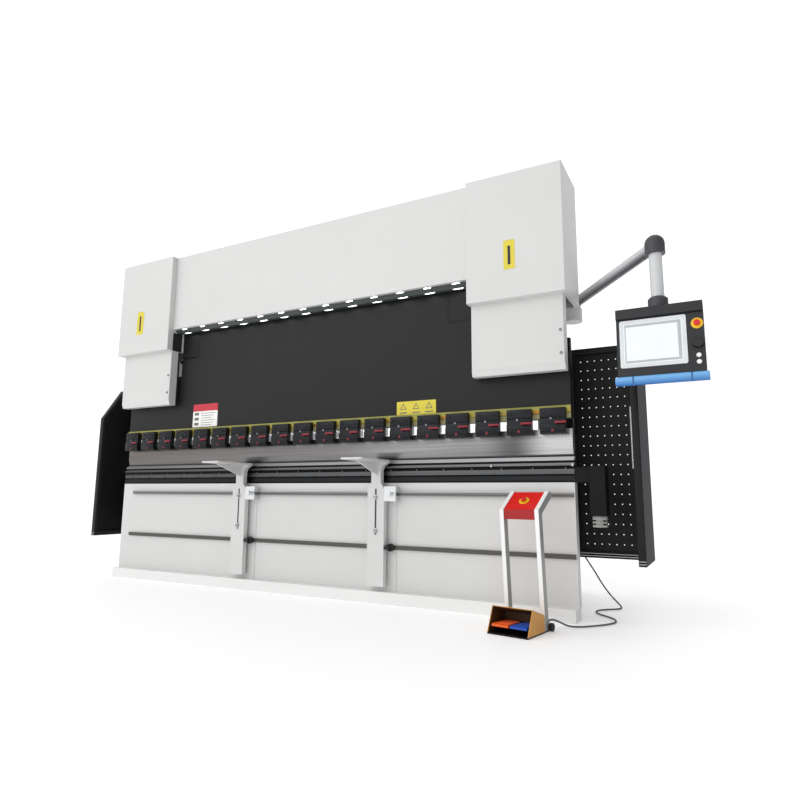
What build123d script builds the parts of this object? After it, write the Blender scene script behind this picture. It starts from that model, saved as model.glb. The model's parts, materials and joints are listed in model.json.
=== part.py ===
from build123d import *
import math
import os

# A hydraulic press brake: a long bed with its die, a ram with a row of quick clamps over it,
# white cylinder covers, side fences, sliding front supports, a swinging control pendant
# and a foot pedal stand. Millimetres, +Z up, +Y to the rear of the machine.
# The origin is on the floor under the bend line, halfway along the bed.

# Bed
BED_LENGTH = 4000.0
BED_END = BED_LENGTH / 2
BED_THICK = 70.0
BED_TOP = 800.0
FOOT_HEIGHT = 76.0
FOOT_FRONT = 98.0
FOOT_REAR = 48.0
FOOT_INSET = 6.0
SEAM_WIDTH = 5.0
SEAM_DEPTH = 3.0

# Lower tool: crowning table, rail and die
CROWN_HEIGHT = 74.0
CROWN_THICK = 68.0
CROWN_LIP = 10.0
RAIL_HEIGHT = 39.0
RAIL_THICK = 84.0
RAIL_RECESS = 8.0
DIE_HEIGHT = 43.0
DIE_THICK = 60.0
DIE_FOOT = 40.0
DIE_NECK = 34.0
DIE_OPENING = 24.0
DIE_DEPTH = 12.0
DRIVE_ARM = 85.0
DRIVE_WIDTH = 95.0
DRIVE_RISE = 21.0
DRIVE_HEIGHT = 290.0
DRIVE_DEPTH = 100.0
PLUG_HEIGHT = 70.0

# Ram
RAM_LENGTH = BED_LENGTH - 14.0
RAM_THICK = 60.0
RAM_BOTTOM = 1190.0
RAM_SHOULDER = 1600.0
RAM_SIDE_GAP = 12.0
RAM_WAIST_TOP = 1900.0
RAM_TOP = 2180.0
RAM_STROKE = 200.0
STRIP_HEIGHT = 79.0
STRIP_THICK = 12.0

# Punch and its clamps
TOOL_GAP = 8.0
PUNCH_HEIGHT = 163.0
PUNCH_THICK = 30.0
PUNCH_FRONT = 16.0
PUNCH_SLOPE_HEIGHT = 45.0
PUNCH_TIP = 3.0
CLAMP_COUNT = 19
CLAMP_PITCH = 210.0
CLAMP_WIDTH = 158.0
CLAMP_TOP = 1252.0
CLAMP_LIP = 35.0
CLAMP_DEPTH = 46.0
CLAMP_BEVEL = 10.0
SEAT_WIDTH = 110.0
LEVER_LENGTH = 78.0
LEVER_HEIGHT = 16.0
LEVER_DROP = 30.0
LEVER_OVERHANG = 8.0
LEVER_DEPTH = 22.0

# Cylinders
CYLINDER_X = BED_END - 310.0
CYLINDER_RADIUS = 105.0
CYLINDER_BOTTOM = 1840.0
CYLINDER_TOP = 2640.0
CYLINDER_FLANGE = 40.0
ROD_RADIUS = 60.0
ROD_TOP = 2350.0
FIT_GAP = 0.3

# Side frames and the beams between them
FRAME_THICK = 60.0
FRAME_X = CYLINDER_X
FRAME_DEPTH = 1150.0
FRAME_TOP = 2600.0
FRAME_CORNER = 250.0
THROAT_LOW = 760.0
THROAT_TOP = 1500.0
THROAT_DEPTH = 400.0
THROAT_RADIUS = 60.0
FRAME_NOSE = 125.0
TANK_DEPTH = 420.0
TANK_GAP = 3.0
TANK_HEIGHT = 640.0
TIE_HEIGHT = 360.0
TIE_THICK = 40.0

# Covers
COVER_IN = BED_END - 618.0
COVER_OUT = BED_END + 21.0
COVER_FRONT = 197.0
COVER_BOTTOM = 1947.0
COVER_TOP = 2788.0
SHEET = 4.0
SKIRT_IN = COVER_IN + 10.0
SKIRT_OUT = BED_END - 8.0
SKIRT_FRONT = 137.0
SKIRT_REAR = 63.0
SKIRT_BOTTOM = 1474.0
SKIRT_OVERLAP = 60.0
SKIRT_BEVEL = 45.0
FOLD_RADIUS = 6.0
SEAL_THICK = 3.0
SEAL_REAR = 42.0
CENTRE_FRONT = 145.0
CENTRE_DEPTH = 90.0
CENTRE_BOTTOM = 2134.0
LIGHT_HEIGHT = 30.0
LIGHT_DEPTH = 60.0
LAMP_COUNT = 13
LAMP_LENGTH = 90.0

# Front supports on their two rails
SLIDE_RAIL_ENDS = (144.0 - BED_END, BED_END - 8.0)
LOW_RAIL_ENDS = (116.0 - BED_END, BED_END - 6.0)
SLIDE_RAIL_Z = 726.0
SLIDE_RAIL_HEIGHT = 30.0
SLIDE_RAIL_DEPTH = 24.0
LOW_RAIL_Z = 366.0
LOW_RAIL_HEIGHT = 28.0
LOW_RAIL_DEPTH = 14.0
SUPPORT_X = (-575.0, 665.0)
LEG_WIDTH = 130.0
LEG_THICK = 40.0
LEG_BOTTOM = 110.0
NECK_WIDTH = 75.0
NECK_START = 800.0
HEAD_WIDTH = 170.0
HEAD_Z = 945.0
PLATE_THICK = 12.0
PLATE_REACH = 330.0
CARRIAGE_WIDTH = 90.0
CARRIAGE_HEIGHT = 100.0
ROLLER_RADIUS = 26.0
ROLLER_WIDTH = 22.0
RAIL_GAP = 0.3

# Side fences
FENCE_Y = 365.0
FENCE_BOTTOM = 332.0
FENCE_TOP = 1700.0
FENCE_OUT = BED_END + 380.0
FENCE_FRONT = -57.0
FENCE_CHAMFER_RISE = 290.0
FENCE_SHOULDER = FENCE_TOP - FENCE_CHAMFER_RISE
FENCE_CHAMFER_RUN = 190.0
FENCE_SHEET = 3.0
FENCE_TUBE = 40.0
FENCE_EDGE = 2.0
POST_X = BED_END - 100.0
POST_SIZE = 40.0
POST_BOTTOM = 320.0
POST_TOP = 1790.0
POST_BRACKETS = (480.0, 1540.0)
HINGE_GAP = 12.0
HINGE_RADIUS = 10.0
HINGE_LENGTH = 30.0
HINGE_LEAF = 6.0
PIN_RADIUS = 5.0
HANDLE_X = BED_END + 300.0
HANDLE_LOW = 892.0
HANDLE_HIGH = 1282.0
HANDLE_RADIUS = 14.0
HANDLE_STANDOFF = 45.0

# Control pendant
CASE_TOP = 1700.0
PENDANT_DROP = 345.0
ARM_PIVOT = (BED_END - 70.0, 440.0)
ARM_Z = CASE_TOP + PENDANT_DROP
ARM_ELBOW = (BED_END + 543.0, -388.0)
ARM_RADIUS = 34.0
ELBOW_RADIUS = 51.0
BASE_RADIUS = 60.0
BASE_HEIGHT = 90.0
HUB_HEIGHT = 70.0
DROP_RADIUS = 33.0
CASE_WIDTH = 418.0
CASE_DEPTH = 110.0
CASE_HEIGHT = 365.0
CASE_HOOD = 52.0
CASE_LEAN = 18.0
COLLAR_RADIUS = 50.0
COLLAR_HEIGHT = 58.0
GRIP_RADIUS = 25.0
GRIP_OVERHANG = 12.0
SCREEN_WIDTH = 321.0
SCREEN_HEIGHT = 257.0
SCREEN_X = -32.0
BUTTON_X = 178.0
BUTTON_RADIUS = 10.0
DIAL_RADIUS = 26.0
STOP_DROP = 65.0
DIAL_DROP = 167.0
BUTTON_DROPS = (232.0, 266.0)

# Foot pedal stand
STAND_X = BED_END - 214.0
STAND_Y = -360.0
STAND_TURN = -9.4
STAND_WIDTH = 236.0
LEG_SECTION = (24.0, 44.0)
STAND_BEND = 642.0
STAND_TOP = 745.0
STAND_LEAN = 51.0
STAND_RAKE = 145.0
HEAD_LOW = 589.0
HEAD_DEPTH = 32.0
BASE_PLATE = 8.0
SHROUD_HEIGHT = 128.0
SHROUD_DEPTH = 254.0
SHROUD_FALL = 45.0
MOUTH_RUN = 60.0
PEDAL_WIDTH = 96.0
PEDAL_LENGTH = 150.0
WHEEL_RADIUS = 22.0
WHEEL_WIDTH = 18.0

# Stop buttons
STOP_RADIUS = 15.0
STOP_CAP = 10.0
STOP_LIFT = 9.0
STEM_RADIUS = 8.0
STEM_DEPTH = 8.0

# Pedal cable
CABLE_RADIUS = 5.0


def block(x0, x1, y0, y1, z0, z1):
    """A box between two corners."""
    return Pos((x0 + x1) / 2, (y0 + y1) / 2, (z0 + z1) / 2) * Box(abs(x1 - x0), abs(y1 - y0), abs(z1 - z0))


def along_x(points, x0, x1):
    """A side profile in Y and Z, run from x0 to x1."""
    return Pos(x0, 0, 0) * extrude(Plane.YZ * Polygon(*points, align=None), x1 - x0, dir=(1, 0, 0))


def along_y(points, y0, y1):
    """A front profile in X and Z, run from y0 to y1."""
    return Pos(0, y0, 0) * extrude(Plane.XZ * Polygon(*points, align=None), y1 - y0, dir=(0, 1, 0))


def upright(x, y, z0, z1, radius):
    """A round bar that stands upright."""
    return Pos(x, y, (z0 + z1) / 2) * Cylinder(radius, z1 - z0)


def mirrored(shape):
    """The same piece on the other side of the machine."""
    return mirror(shape, about=Plane.YZ)


def save(name, *solids):
    """Writes one piece, or several like pieces that share a name."""
    shape = solids[0] if len(solids) == 1 else Compound(list(solids))
    export_step(shape, os.path.join("parts", name + ".step"))


# Heights that follow from the sizes above
CROWN_TOP = BED_TOP + CROWN_HEIGHT
DIE_SEAT = CROWN_TOP + RAIL_HEIGHT
DIE_TOP = DIE_SEAT + DIE_HEIGHT
PUNCH_LOW = DIE_TOP + TOOL_GAP
PUNCH_TOP = PUNCH_LOW + PUNCH_HEIGHT
BED_FRONT = -BED_THICK / 2
BED_REAR = BED_THICK / 2
RAM_FRONT = -RAM_THICK / 2
STRIP_FRONT = RAM_FRONT - STRIP_THICK
SKIRT_TOP = COVER_BOTTOM + SKIRT_OVERLAP
RAM_WAIST_HALF = COVER_IN - RAM_SIDE_GAP
RAM_TOP_HALF = RAM_WAIST_HALF - 180


def bed_beam():
    """The white front plate of the bed, with the two seams between its three bays."""
    half = BED_END
    plate = block(-half, half, BED_FRONT, BED_REAR, FOOT_HEIGHT, BED_TOP)
    for x in SUPPORT_X:
        plate -= block(x + LEG_WIDTH, x + LEG_WIDTH + SEAM_WIDTH, BED_FRONT, BED_FRONT + SEAM_DEPTH,
                       FOOT_HEIGHT, BED_TOP)
    return plate


def bed_foot():
    """The broad foot that the bed stands on."""
    half = BED_END - FOOT_INSET
    return block(-half, half, -FOOT_FRONT, FOOT_REAR, 0, FOOT_HEIGHT)


def crowning_table():
    """The dark wedge table under the die, with a groove between its two halves."""
    half = CROWN_THICK / 2
    deep = half - CROWN_LIP / 2
    low = BED_TOP + 0.44 * CROWN_HEIGHT
    high = low + CROWN_HEIGHT / 7
    right = [(half, BED_TOP), (half, low), (deep, low), (deep, high), (half, high), (half, CROWN_TOP)]
    return along_x(right + [(-y, z) for y, z in reversed(right)], -BED_END, BED_END)


def die_rail():
    """The rail that holds the die: a lip over the recess where its clamping screws sit."""
    half = RAIL_THICK / 2
    deep = half - RAIL_RECESS
    lip = CROWN_TOP + 0.62 * RAIL_HEIGHT
    right = [(deep, CROWN_TOP), (deep, lip), (half, lip), (half, DIE_SEAT)]
    return along_x(right + [(-y, z) for y, z in reversed(right)], -BED_END, BED_END)


def lower_die():
    """The die: a narrow foot in the rail, a broad body and a neck with its vee along the bend line."""
    half = DIE_THICK / 2
    foot, neck, vee = DIE_FOOT / 2, DIE_NECK / 2, DIE_OPENING / 2
    low = DIE_SEAT + 0.33 * DIE_HEIGHT
    high = DIE_SEAT + 0.78 * DIE_HEIGHT
    right = [(foot, DIE_SEAT), (foot, low), (half, low), (half, high), (neck, high), (neck, DIE_TOP), (vee, DIE_TOP)]
    return along_x(right + [(0, DIE_TOP - DIE_DEPTH)] + [(-y, z) for y, z in reversed(right)], -BED_END, BED_END)


def crowning_drive():
    """The drive box on the right end of the crowning table, with its plug underneath."""
    start = BED_END
    outer = start + DRIVE_ARM + DRIVE_WIDTH
    top = CROWN_TOP + DRIVE_RISE
    half = DRIVE_DEPTH / 2
    arm = block(start, start + DRIVE_ARM, -CROWN_THICK / 2, CROWN_THICK / 2, BED_TOP, top - 5)
    box = block(start + DRIVE_ARM, outer, -half, half, top - DRIVE_HEIGHT, top)
    box = fillet(box.edges().filter_by(Axis.Z), 8)
    low = top - DRIVE_HEIGHT
    plug = Pos(outer - DRIVE_WIDTH / 2, 0, low - PLUG_HEIGHT / 2) * Box(70, 60, PLUG_HEIGHT)
    plug = fillet(plug.edges().filter_by(Axis.Z), 10)
    return arm + box + plug


def ram_plate():
    """The ram: full width over the tools, stepped in between and behind the covers."""
    half = RAM_LENGTH / 2
    inner = CYLINDER_X - CYLINDER_RADIUS - RAM_SIDE_GAP
    low_waist = COVER_BOTTOM - RAM_STROKE - RAM_SIDE_GAP
    outline = [(half, RAM_BOTTOM), (half, RAM_SHOULDER), (inner, RAM_SHOULDER), (inner, low_waist),
               (RAM_WAIST_HALF, low_waist), (RAM_WAIST_HALF, RAM_WAIST_TOP), (RAM_TOP_HALF, RAM_WAIST_TOP),
               (RAM_TOP_HALF, RAM_TOP)]
    points = outline + [(-x, z) for x, z in reversed(outline)]
    return along_y(points, RAM_FRONT, -RAM_FRONT)


def tool_strip():
    """The yellow strip along the foot of the ram."""
    half = RAM_LENGTH / 2
    return block(-half, half, STRIP_FRONT, RAM_FRONT, RAM_BOTTOM, RAM_BOTTOM + STRIP_HEIGHT)


def piston_rods():
    """The two rods that carry the ram."""
    rod = upright(CYLINDER_X, 0, RAM_SHOULDER, ROD_TOP, ROD_RADIUS)
    return [mirrored(rod), rod]


def upper_punch():
    """The punch: a flat tang for the clamps, a tall front face and a tip over the vee."""
    shoulder = PUNCH_LOW + PUNCH_SLOPE_HEIGHT
    points = [(-PUNCH_FRONT, PUNCH_TOP), (-PUNCH_FRONT, shoulder), (-PUNCH_TIP, PUNCH_LOW), (PUNCH_TIP, PUNCH_LOW),
              (PUNCH_THICK - PUNCH_FRONT, shoulder), (PUNCH_THICK - PUNCH_FRONT, PUNCH_TOP)]
    half = RAM_LENGTH / 2
    return along_x(points, -half, half)


def clamp_at(x):
    """One quick clamp: a block under the ram and a front jaw over the punch."""
    front = STRIP_FRONT - CLAMP_DEPTH
    face = front + CLAMP_BEVEL
    low = PUNCH_TOP - CLAMP_LIP
    points = [(STRIP_FRONT, CLAMP_TOP), (STRIP_FRONT, PUNCH_TOP), (-PUNCH_FRONT, PUNCH_TOP), (-PUNCH_FRONT, low),
              (face, low), (front, low + CLAMP_BEVEL), (front, RAM_BOTTOM - 2 * CLAMP_BEVEL),
              (face, RAM_BOTTOM - CLAMP_BEVEL), (face, CLAMP_TOP)]
    jaw = along_x(points, x - CLAMP_WIDTH / 2, x + CLAMP_WIDTH / 2)
    return jaw + block(x - SEAT_WIDTH / 2, x + SEAT_WIDTH / 2, STRIP_FRONT, -RAM_FRONT, PUNCH_TOP, RAM_BOTTOM)


def lever_at(x):
    """The red lever on the face of one clamp."""
    front = STRIP_FRONT - CLAMP_DEPTH
    right = x + CLAMP_WIDTH / 2 + LEVER_OVERHANG
    z = RAM_BOTTOM - LEVER_DROP
    bar = block(right - LEVER_LENGTH, right, front - LEVER_DEPTH, front - LEVER_DEPTH / 2, z - LEVER_HEIGHT / 2,
                z + LEVER_HEIGHT / 2)
    boss = Pos(right - LEVER_LENGTH + 12, front - LEVER_DEPTH / 2, z) * Rot(90, 0, 0) * Cylinder(12, LEVER_DEPTH)
    return bar + boss


def clamp_centres():
    """The middle of each clamp along the ram."""
    return [(i - (CLAMP_COUNT - 1) / 2) * CLAMP_PITCH for i in range(CLAMP_COUNT)]


def side_frame():
    """The right frame plate, with its throat open to the front and the nose that the cylinder bolts to."""
    x0 = FRAME_X - FRAME_THICK / 2
    throat_back = BED_REAR + THROAT_DEPTH
    outline = [(BED_REAR, 0), (FRAME_DEPTH, 0), (FRAME_DEPTH, FRAME_TOP - FRAME_CORNER),
               (FRAME_DEPTH - FRAME_CORNER, FRAME_TOP),
               (FRAME_NOSE, FRAME_TOP), (FRAME_NOSE, THROAT_TOP + 150), (FRAME_NOSE + 90, THROAT_TOP),
               (throat_back, THROAT_TOP), (throat_back, THROAT_LOW), (BED_REAR, THROAT_LOW)]
    plate = along_x(outline, x0, x0 + FRAME_THICK)
    inner = [e for e in plate.edges().filter_by(Axis.X)
             if abs(e.center().Y - throat_back) < 1 and THROAT_LOW - 1 < e.center().Z < THROAT_TOP + 1]
    plate = fillet(inner, THROAT_RADIUS)
    return plate - block(x0, x0 + FRAME_THICK, BED_REAR, FOOT_REAR, 0, FOOT_HEIGHT)


def cylinder_body():
    """A press cylinder, bored for its rod, on a square flange against the frame's nose."""
    x = CYLINDER_X
    tube = upright(x, 0, CYLINDER_BOTTOM, CYLINDER_TOP, CYLINDER_RADIUS)
    flange = block(x - CYLINDER_RADIUS, x + CYLINDER_RADIUS, 0, FRAME_NOSE, CYLINDER_BOTTOM + 80, CYLINDER_TOP - 80)
    bore_top = ROD_TOP + RAM_STROKE + CYLINDER_FLANGE
    bore = upright(x, 0, CYLINDER_BOTTOM, bore_top, ROD_RADIUS + FIT_GAP)
    return tube + flange - bore


def cylinder_cover():
    """The right upper cover: a tall sheet box, open under its back, with a rim round the skirt."""
    rear = COVER_FRONT
    box = block(COVER_IN, COVER_OUT, -COVER_FRONT, rear, COVER_BOTTOM, COVER_TOP)
    box = fillet(box.edges().filter_by(Axis.Z).group_by(Axis.Y)[0], FOLD_RADIUS)
    box -= block(COVER_IN + SHEET, COVER_OUT - SHEET, -COVER_FRONT + SHEET, rear - SHEET, COVER_BOTTOM + SHEET,
                 COVER_TOP - SHEET)
    slot = block(FRAME_X - FRAME_THICK / 2, FRAME_X + FRAME_THICK / 2, FRAME_NOSE, rear, COVER_BOTTOM, FRAME_TOP)
    under = block(SKIRT_IN, SKIRT_OUT, -SKIRT_FRONT, rear - SHEET, COVER_BOTTOM, COVER_BOTTOM + SHEET)
    return box - slot - under


def cover_skirt():
    """The right lower cover: a pan with a bevelled foot that hides the ram's shoulder, open at its back and top."""
    front, rear, low = -SKIRT_FRONT, -SKIRT_REAR, SKIRT_BOTTOM
    lean = SKIRT_BEVEL / 3
    outer = [(front + lean, low), (rear, low), (rear, SKIRT_TOP), (front, SKIRT_TOP), (front, low + SKIRT_BEVEL)]
    inner = [(front + lean + SHEET, low + SHEET), (rear + 1, low + SHEET), (rear + 1, SKIRT_TOP + 1),
             (front + SHEET, SKIRT_TOP + 1), (front + SHEET, low + SKIRT_BEVEL + 1)]
    pan = along_x(outer, SKIRT_IN, SKIRT_OUT)
    pan = fillet(pan.edges().filter_by(Axis.Z).group_by(Axis.Y)[0], FOLD_RADIUS)
    return pan - along_x(inner, SKIRT_IN + SHEET, SKIRT_OUT - SHEET)


def cover_seals():
    """The black strips that close the gap between the right covers and the ram."""
    rear = -SEAL_REAR
    high = block(COVER_IN - SEAL_THICK, COVER_IN, -CENTRE_FRONT + SHEET, rear, COVER_BOTTOM, CENTRE_BOTTOM - LIGHT_HEIGHT)
    low = block(SKIRT_IN, SKIRT_IN + SEAL_THICK, -SKIRT_REAR, rear, SKIRT_BOTTOM, COVER_BOTTOM)
    return [high, low]


def centre_cover():
    """The long white panel between the two covers, turned back along its top and foot."""
    rear = -CENTRE_FRONT + CENTRE_DEPTH
    box = block(-COVER_IN, COVER_IN, -CENTRE_FRONT, rear, CENTRE_BOTTOM, COVER_TOP)
    return box - block(-COVER_IN, COVER_IN, -CENTRE_FRONT + SHEET, rear, CENTRE_BOTTOM + SHEET, COVER_TOP - SHEET)


def work_light():
    """The dark light bar under the centre cover, with a row of lamp pockets in its foot."""
    rear = -CENTRE_FRONT + CENTRE_DEPTH
    front = rear - LIGHT_DEPTH
    low = CENTRE_BOTTOM - LIGHT_HEIGHT
    points = [(rear, CENTRE_BOTTOM), (front, CENTRE_BOTTOM), (front, CENTRE_BOTTOM - 8), (front + 22, low), (rear, low)]
    bar = along_x(points, -COVER_IN, COVER_IN)
    pitch = 2 * COVER_IN / LAMP_COUNT
    for i in range(LAMP_COUNT):
        x = -COVER_IN + (i + 0.5) * pitch
        bar -= block(x - LAMP_LENGTH / 2, x + LAMP_LENGTH / 2, rear - 30, rear - 8, low, low + 6)
    return bar


def oil_tank():
    """The tank between the frames, behind the centre cover."""
    half = FRAME_X - FRAME_THICK / 2
    top = FRAME_TOP - 40
    front = COVER_FRONT + TANK_GAP
    tank = block(-half, half, front, front + TANK_DEPTH, top - TANK_HEIGHT, top)
    return chamfer(tank.edges().filter_by(Axis.X), 20)


def rear_ties():
    """The plates that tie the frames together at the back."""
    half = FRAME_X - FRAME_THICK / 2
    low = block(-half, half, FRAME_DEPTH - TIE_THICK, FRAME_DEPTH, 150, 150 + TIE_HEIGHT)
    high = block(-half, half, FRAME_DEPTH - TIE_THICK, FRAME_DEPTH, FRAME_TOP - FRAME_CORNER - TIE_HEIGHT,
                 FRAME_TOP - FRAME_CORNER)
    return [low, high]


def support_rails():
    """The graduated rail that the front supports slide on, and the plain one that their rollers bear on."""
    z = SLIDE_RAIL_Z
    half = SLIDE_RAIL_HEIGHT / 2
    front = BED_FRONT - SLIDE_RAIL_DEPTH
    waist = 4.0
    points = [(BED_FRONT, z - half), (BED_FRONT, z + half), (front, z + half), (front, z + half / 2),
              (front + waist, z + half / 4), (front + waist, z - half / 4), (front, z - half / 2), (front, z - half)]
    upper = along_x(points, *SLIDE_RAIL_ENDS)
    half = LOW_RAIL_HEIGHT / 2
    lower = block(*LOW_RAIL_ENDS, BED_FRONT - LOW_RAIL_DEPTH, BED_FRONT, LOW_RAIL_Z - half, LOW_RAIL_Z + half)
    return [upper, lower]


def support_leg(x):
    """A front support: a leg necked above the rail, welded under the plate that the sheet rests on."""
    back = BED_FRONT - SLIDE_RAIL_DEPTH - RAIL_GAP
    half = LEG_WIDTH / 2
    neck = NECK_WIDTH / 2
    head = HEAD_WIDTH / 2
    outline = [(half, LEG_BOTTOM), (half, NECK_START - 40), (neck, NECK_START), (neck, HEAD_Z - 60),
               (neck + 12, HEAD_Z - 30), (head, HEAD_Z - 8), (head, HEAD_Z)]
    points = [(x + dx, z) for dx, z in outline] + [(x - dx, z) for dx, z in reversed(outline)]
    leg = along_y(points, back - LEG_THICK, back)
    front = back - LEG_THICK
    plate = block(x - head, x + head, front - PLATE_REACH, back, HEAD_Z, HEAD_Z + PLATE_THICK)
    corners = plate.edges().filter_by(Axis.Z).group_by(Axis.Y)[0]
    plate = fillet(corners, 20)
    rib = [(front, HEAD_Z), (front, HEAD_Z - 90), (front - PLATE_REACH + 60, HEAD_Z)]
    return leg + plate + along_x(rib, x - 5, x + 5)


def support_carriage(x):
    """The carriage beside the leg: it wraps the slide rail and is locked by a hand knob."""
    left = x + LEG_WIDTH / 2
    right = left + CARRIAGE_WIDTH
    z = SLIDE_RAIL_Z
    back = BED_FRONT - RAIL_GAP
    front = BED_FRONT - SLIDE_RAIL_DEPTH - RAIL_GAP - LEG_THICK
    half = CARRIAGE_HEIGHT / 2
    body = block(left, right, front, back, z - half, z + half)
    gap = SLIDE_RAIL_HEIGHT / 2 + RAIL_GAP
    body -= block(left, right, BED_FRONT - SLIDE_RAIL_DEPTH - RAIL_GAP, back, z - gap, z + gap)
    middle = (left + right) / 2
    knob = Pos(middle, front - 15, z) * Rot(90, 0, 0) * Cylinder(18, 30)
    return body + knob


def support_roller(x):
    """The black roller on the lower rail and the arm that carries it."""
    left = x + LEG_WIDTH / 2
    middle = left + ROLLER_RADIUS + 6
    y = BED_FRONT - LOW_RAIL_DEPTH - RAIL_GAP - ROLLER_WIDTH / 2
    wheel = Pos(middle, y, LOW_RAIL_Z) * Rot(90, 0, 0) * Cylinder(ROLLER_RADIUS, ROLLER_WIDTH)
    front = BED_FRONT - SLIDE_RAIL_DEPTH - RAIL_GAP - LEG_THICK
    face = y - ROLLER_WIDTH / 2
    arm = block(left, middle + 8, front, face, LOW_RAIL_Z - 10, LOW_RAIL_Z + 10)
    return wheel + arm


def hinge_post():
    """The fence post on the right side, held off the frame by two tubes, with the fixed hinge halves."""
    half = POST_SIZE / 2
    x, y = fence_hinge()
    post = block(POST_X - half, POST_X + half, FENCE_Y - half, FENCE_Y + half, POST_BOTTOM, POST_TOP)
    for z in POST_BRACKETS:
        post += block(FRAME_X + FRAME_THICK / 2, POST_X - half, FENCE_Y - half, FENCE_Y + half, z - half, z + half)
        post += upright(x, y, z - HINGE_LENGTH, z, HINGE_RADIUS)
        post += upright(x, y, z - HINGE_LENGTH, z + HINGE_LENGTH - 2, PIN_RADIUS)
        post += block(POST_X + half, x, y - HINGE_LEAF, y, z - HINGE_LENGTH, z)
    return post


def fence_hinge():
    """Where the upright axis of the right fence stands, in X and Y."""
    return POST_X + POST_SIZE / 2 + HINGE_GAP, FENCE_Y + POST_SIZE / 2


def fence_door():
    """The right fence: a framed sheet facing front and a side return with a sloped top corner."""
    tube = FENCE_TUBE
    x, rear = fence_hinge()
    left = x + FENCE_EDGE
    right = FENCE_OUT
    y = FENCE_Y + tube / 2
    frame = block(left, right, y - tube, y, FENCE_BOTTOM, FENCE_TOP)
    frame -= block(left + tube, right - tube, y - tube, y, FENCE_BOTTOM + tube, FENCE_TOP - tube)
    frame += block(left + tube, right - tube, y - tube / 2, y - tube / 2 + FENCE_SHEET, FENCE_BOTTOM + tube,
                   FENCE_TOP - tube)
    back = y - tube
    outer = [(back, FENCE_BOTTOM), (back, FENCE_TOP), (FENCE_FRONT + FENCE_CHAMFER_RUN, FENCE_TOP),
             (FENCE_FRONT, FENCE_SHOULDER), (FENCE_FRONT, FENCE_BOTTOM)]
    slope = math.hypot(FENCE_CHAMFER_RUN, FENCE_TOP - FENCE_SHOULDER)
    inset = tube * (slope - FENCE_CHAMFER_RUN) / (FENCE_TOP - FENCE_SHOULDER)
    inset_low = tube * (slope - (FENCE_TOP - FENCE_SHOULDER)) / FENCE_CHAMFER_RUN
    inner = [(back, FENCE_BOTTOM + tube), (back, FENCE_TOP - tube),
             (FENCE_FRONT + FENCE_CHAMFER_RUN + inset, FENCE_TOP - tube),
             (FENCE_FRONT + tube, FENCE_SHOULDER - inset_low), (FENCE_FRONT + tube, FENCE_BOTTOM + tube)]
    side = along_x(outer, right - tube, right) - along_x(inner, right - tube, right)
    side += along_x(inner, right - tube / 2, right - tube / 2 + FENCE_SHEET)
    door = frame + side
    for z in POST_BRACKETS:
        low = z + FIT_GAP
        door += upright(x, rear, low, low + HINGE_LENGTH, HINGE_RADIUS)
        door -= upright(x, rear, z - HINGE_LENGTH - FIT_GAP, low, HINGE_RADIUS + 1)
        door -= upright(x, rear, low, low + HINGE_LENGTH, PIN_RADIUS + FIT_GAP)
    return door


def fence_handle():
    """The long pull handle on the right fence."""
    front = FENCE_Y - FENCE_TUBE / 2
    y = front - HANDLE_STANDOFF
    bar = upright(HANDLE_X, y, HANDLE_LOW, HANDLE_HIGH, HANDLE_RADIUS)
    face = FENCE_Y
    for z in (HANDLE_LOW + 40, HANDLE_HIGH - 40):
        bar += Pos(HANDLE_X, (y + face) / 2, z) * Rot(90, 0, 0) * Cylinder(9, face - y)
    return bar


def arm_base():
    """The bearing on the right frame that the pendant arm turns on."""
    x, y = ARM_PIVOT
    low = ARM_Z - HUB_HEIGHT / 2 - FIT_GAP - BASE_HEIGHT
    cup = upright(x, y, low, low + BASE_HEIGHT, BASE_RADIUS)
    side = FRAME_X + FRAME_THICK / 2
    arm = block(side, x, y - 40, y + 40, low, low + BASE_HEIGHT - 20)
    foot = block(side, side + 12, y - 80, y + 80, low - 60, low + BASE_HEIGHT)
    return cup + arm + foot


def pendant_arm():
    """The tube from the bearing out to the elbow over the pendant."""
    x, y = ARM_PIVOT
    dx, dy = ARM_ELBOW[0] - x, ARM_ELBOW[1] - y
    length = math.hypot(dx, dy)
    turn = math.degrees(math.atan2(dy, dx))
    tube = Pos(length / 2, 0, 0) * Rot(0, 90, 0) * Cylinder(ARM_RADIUS, length)
    hub = Cylinder(BASE_RADIUS - 8, HUB_HEIGHT)
    arm = tube + hub + Pos(0, 0, HUB_HEIGHT / 2 + 6) * Cylinder(BASE_RADIUS - 20, 12)
    arm -= Pos(length, 0, 0) * Cylinder(ELBOW_RADIUS, 4 * ARM_RADIUS)
    return Pos(x, y, ARM_Z) * Rot(0, 0, turn) * arm


def arm_elbow():
    """The dark cast elbow at the end of the arm."""
    x, y = ARM_ELBOW
    body = upright(x, y, ARM_Z - 46, ARM_Z + 10, ELBOW_RADIUS)
    dome = Pos(x, y, ARM_Z + 10) * Sphere(ELBOW_RADIUS)
    dome &= block(x - 99, x + 99, y - 99, y + 99, ARM_Z + 10, ARM_Z + 99)
    return body + dome


def drop_tube():
    """The tube that hangs from the elbow to the pendant, with its collar."""
    x, y = ARM_ELBOW
    top = ARM_Z - 46 - FIT_GAP
    tube = upright(x, y, CASE_TOP + COLLAR_HEIGHT, top, DROP_RADIUS)
    return tube


def pendant_collar():
    """The dark swivel collar on top of the pendant."""
    x, y = ARM_ELBOW
    low = upright(x, y, CASE_TOP, CASE_TOP + COLLAR_HEIGHT, COLLAR_RADIUS)
    return chamfer(low.edges().sort_by(Axis.Z)[-1], 10)


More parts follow.
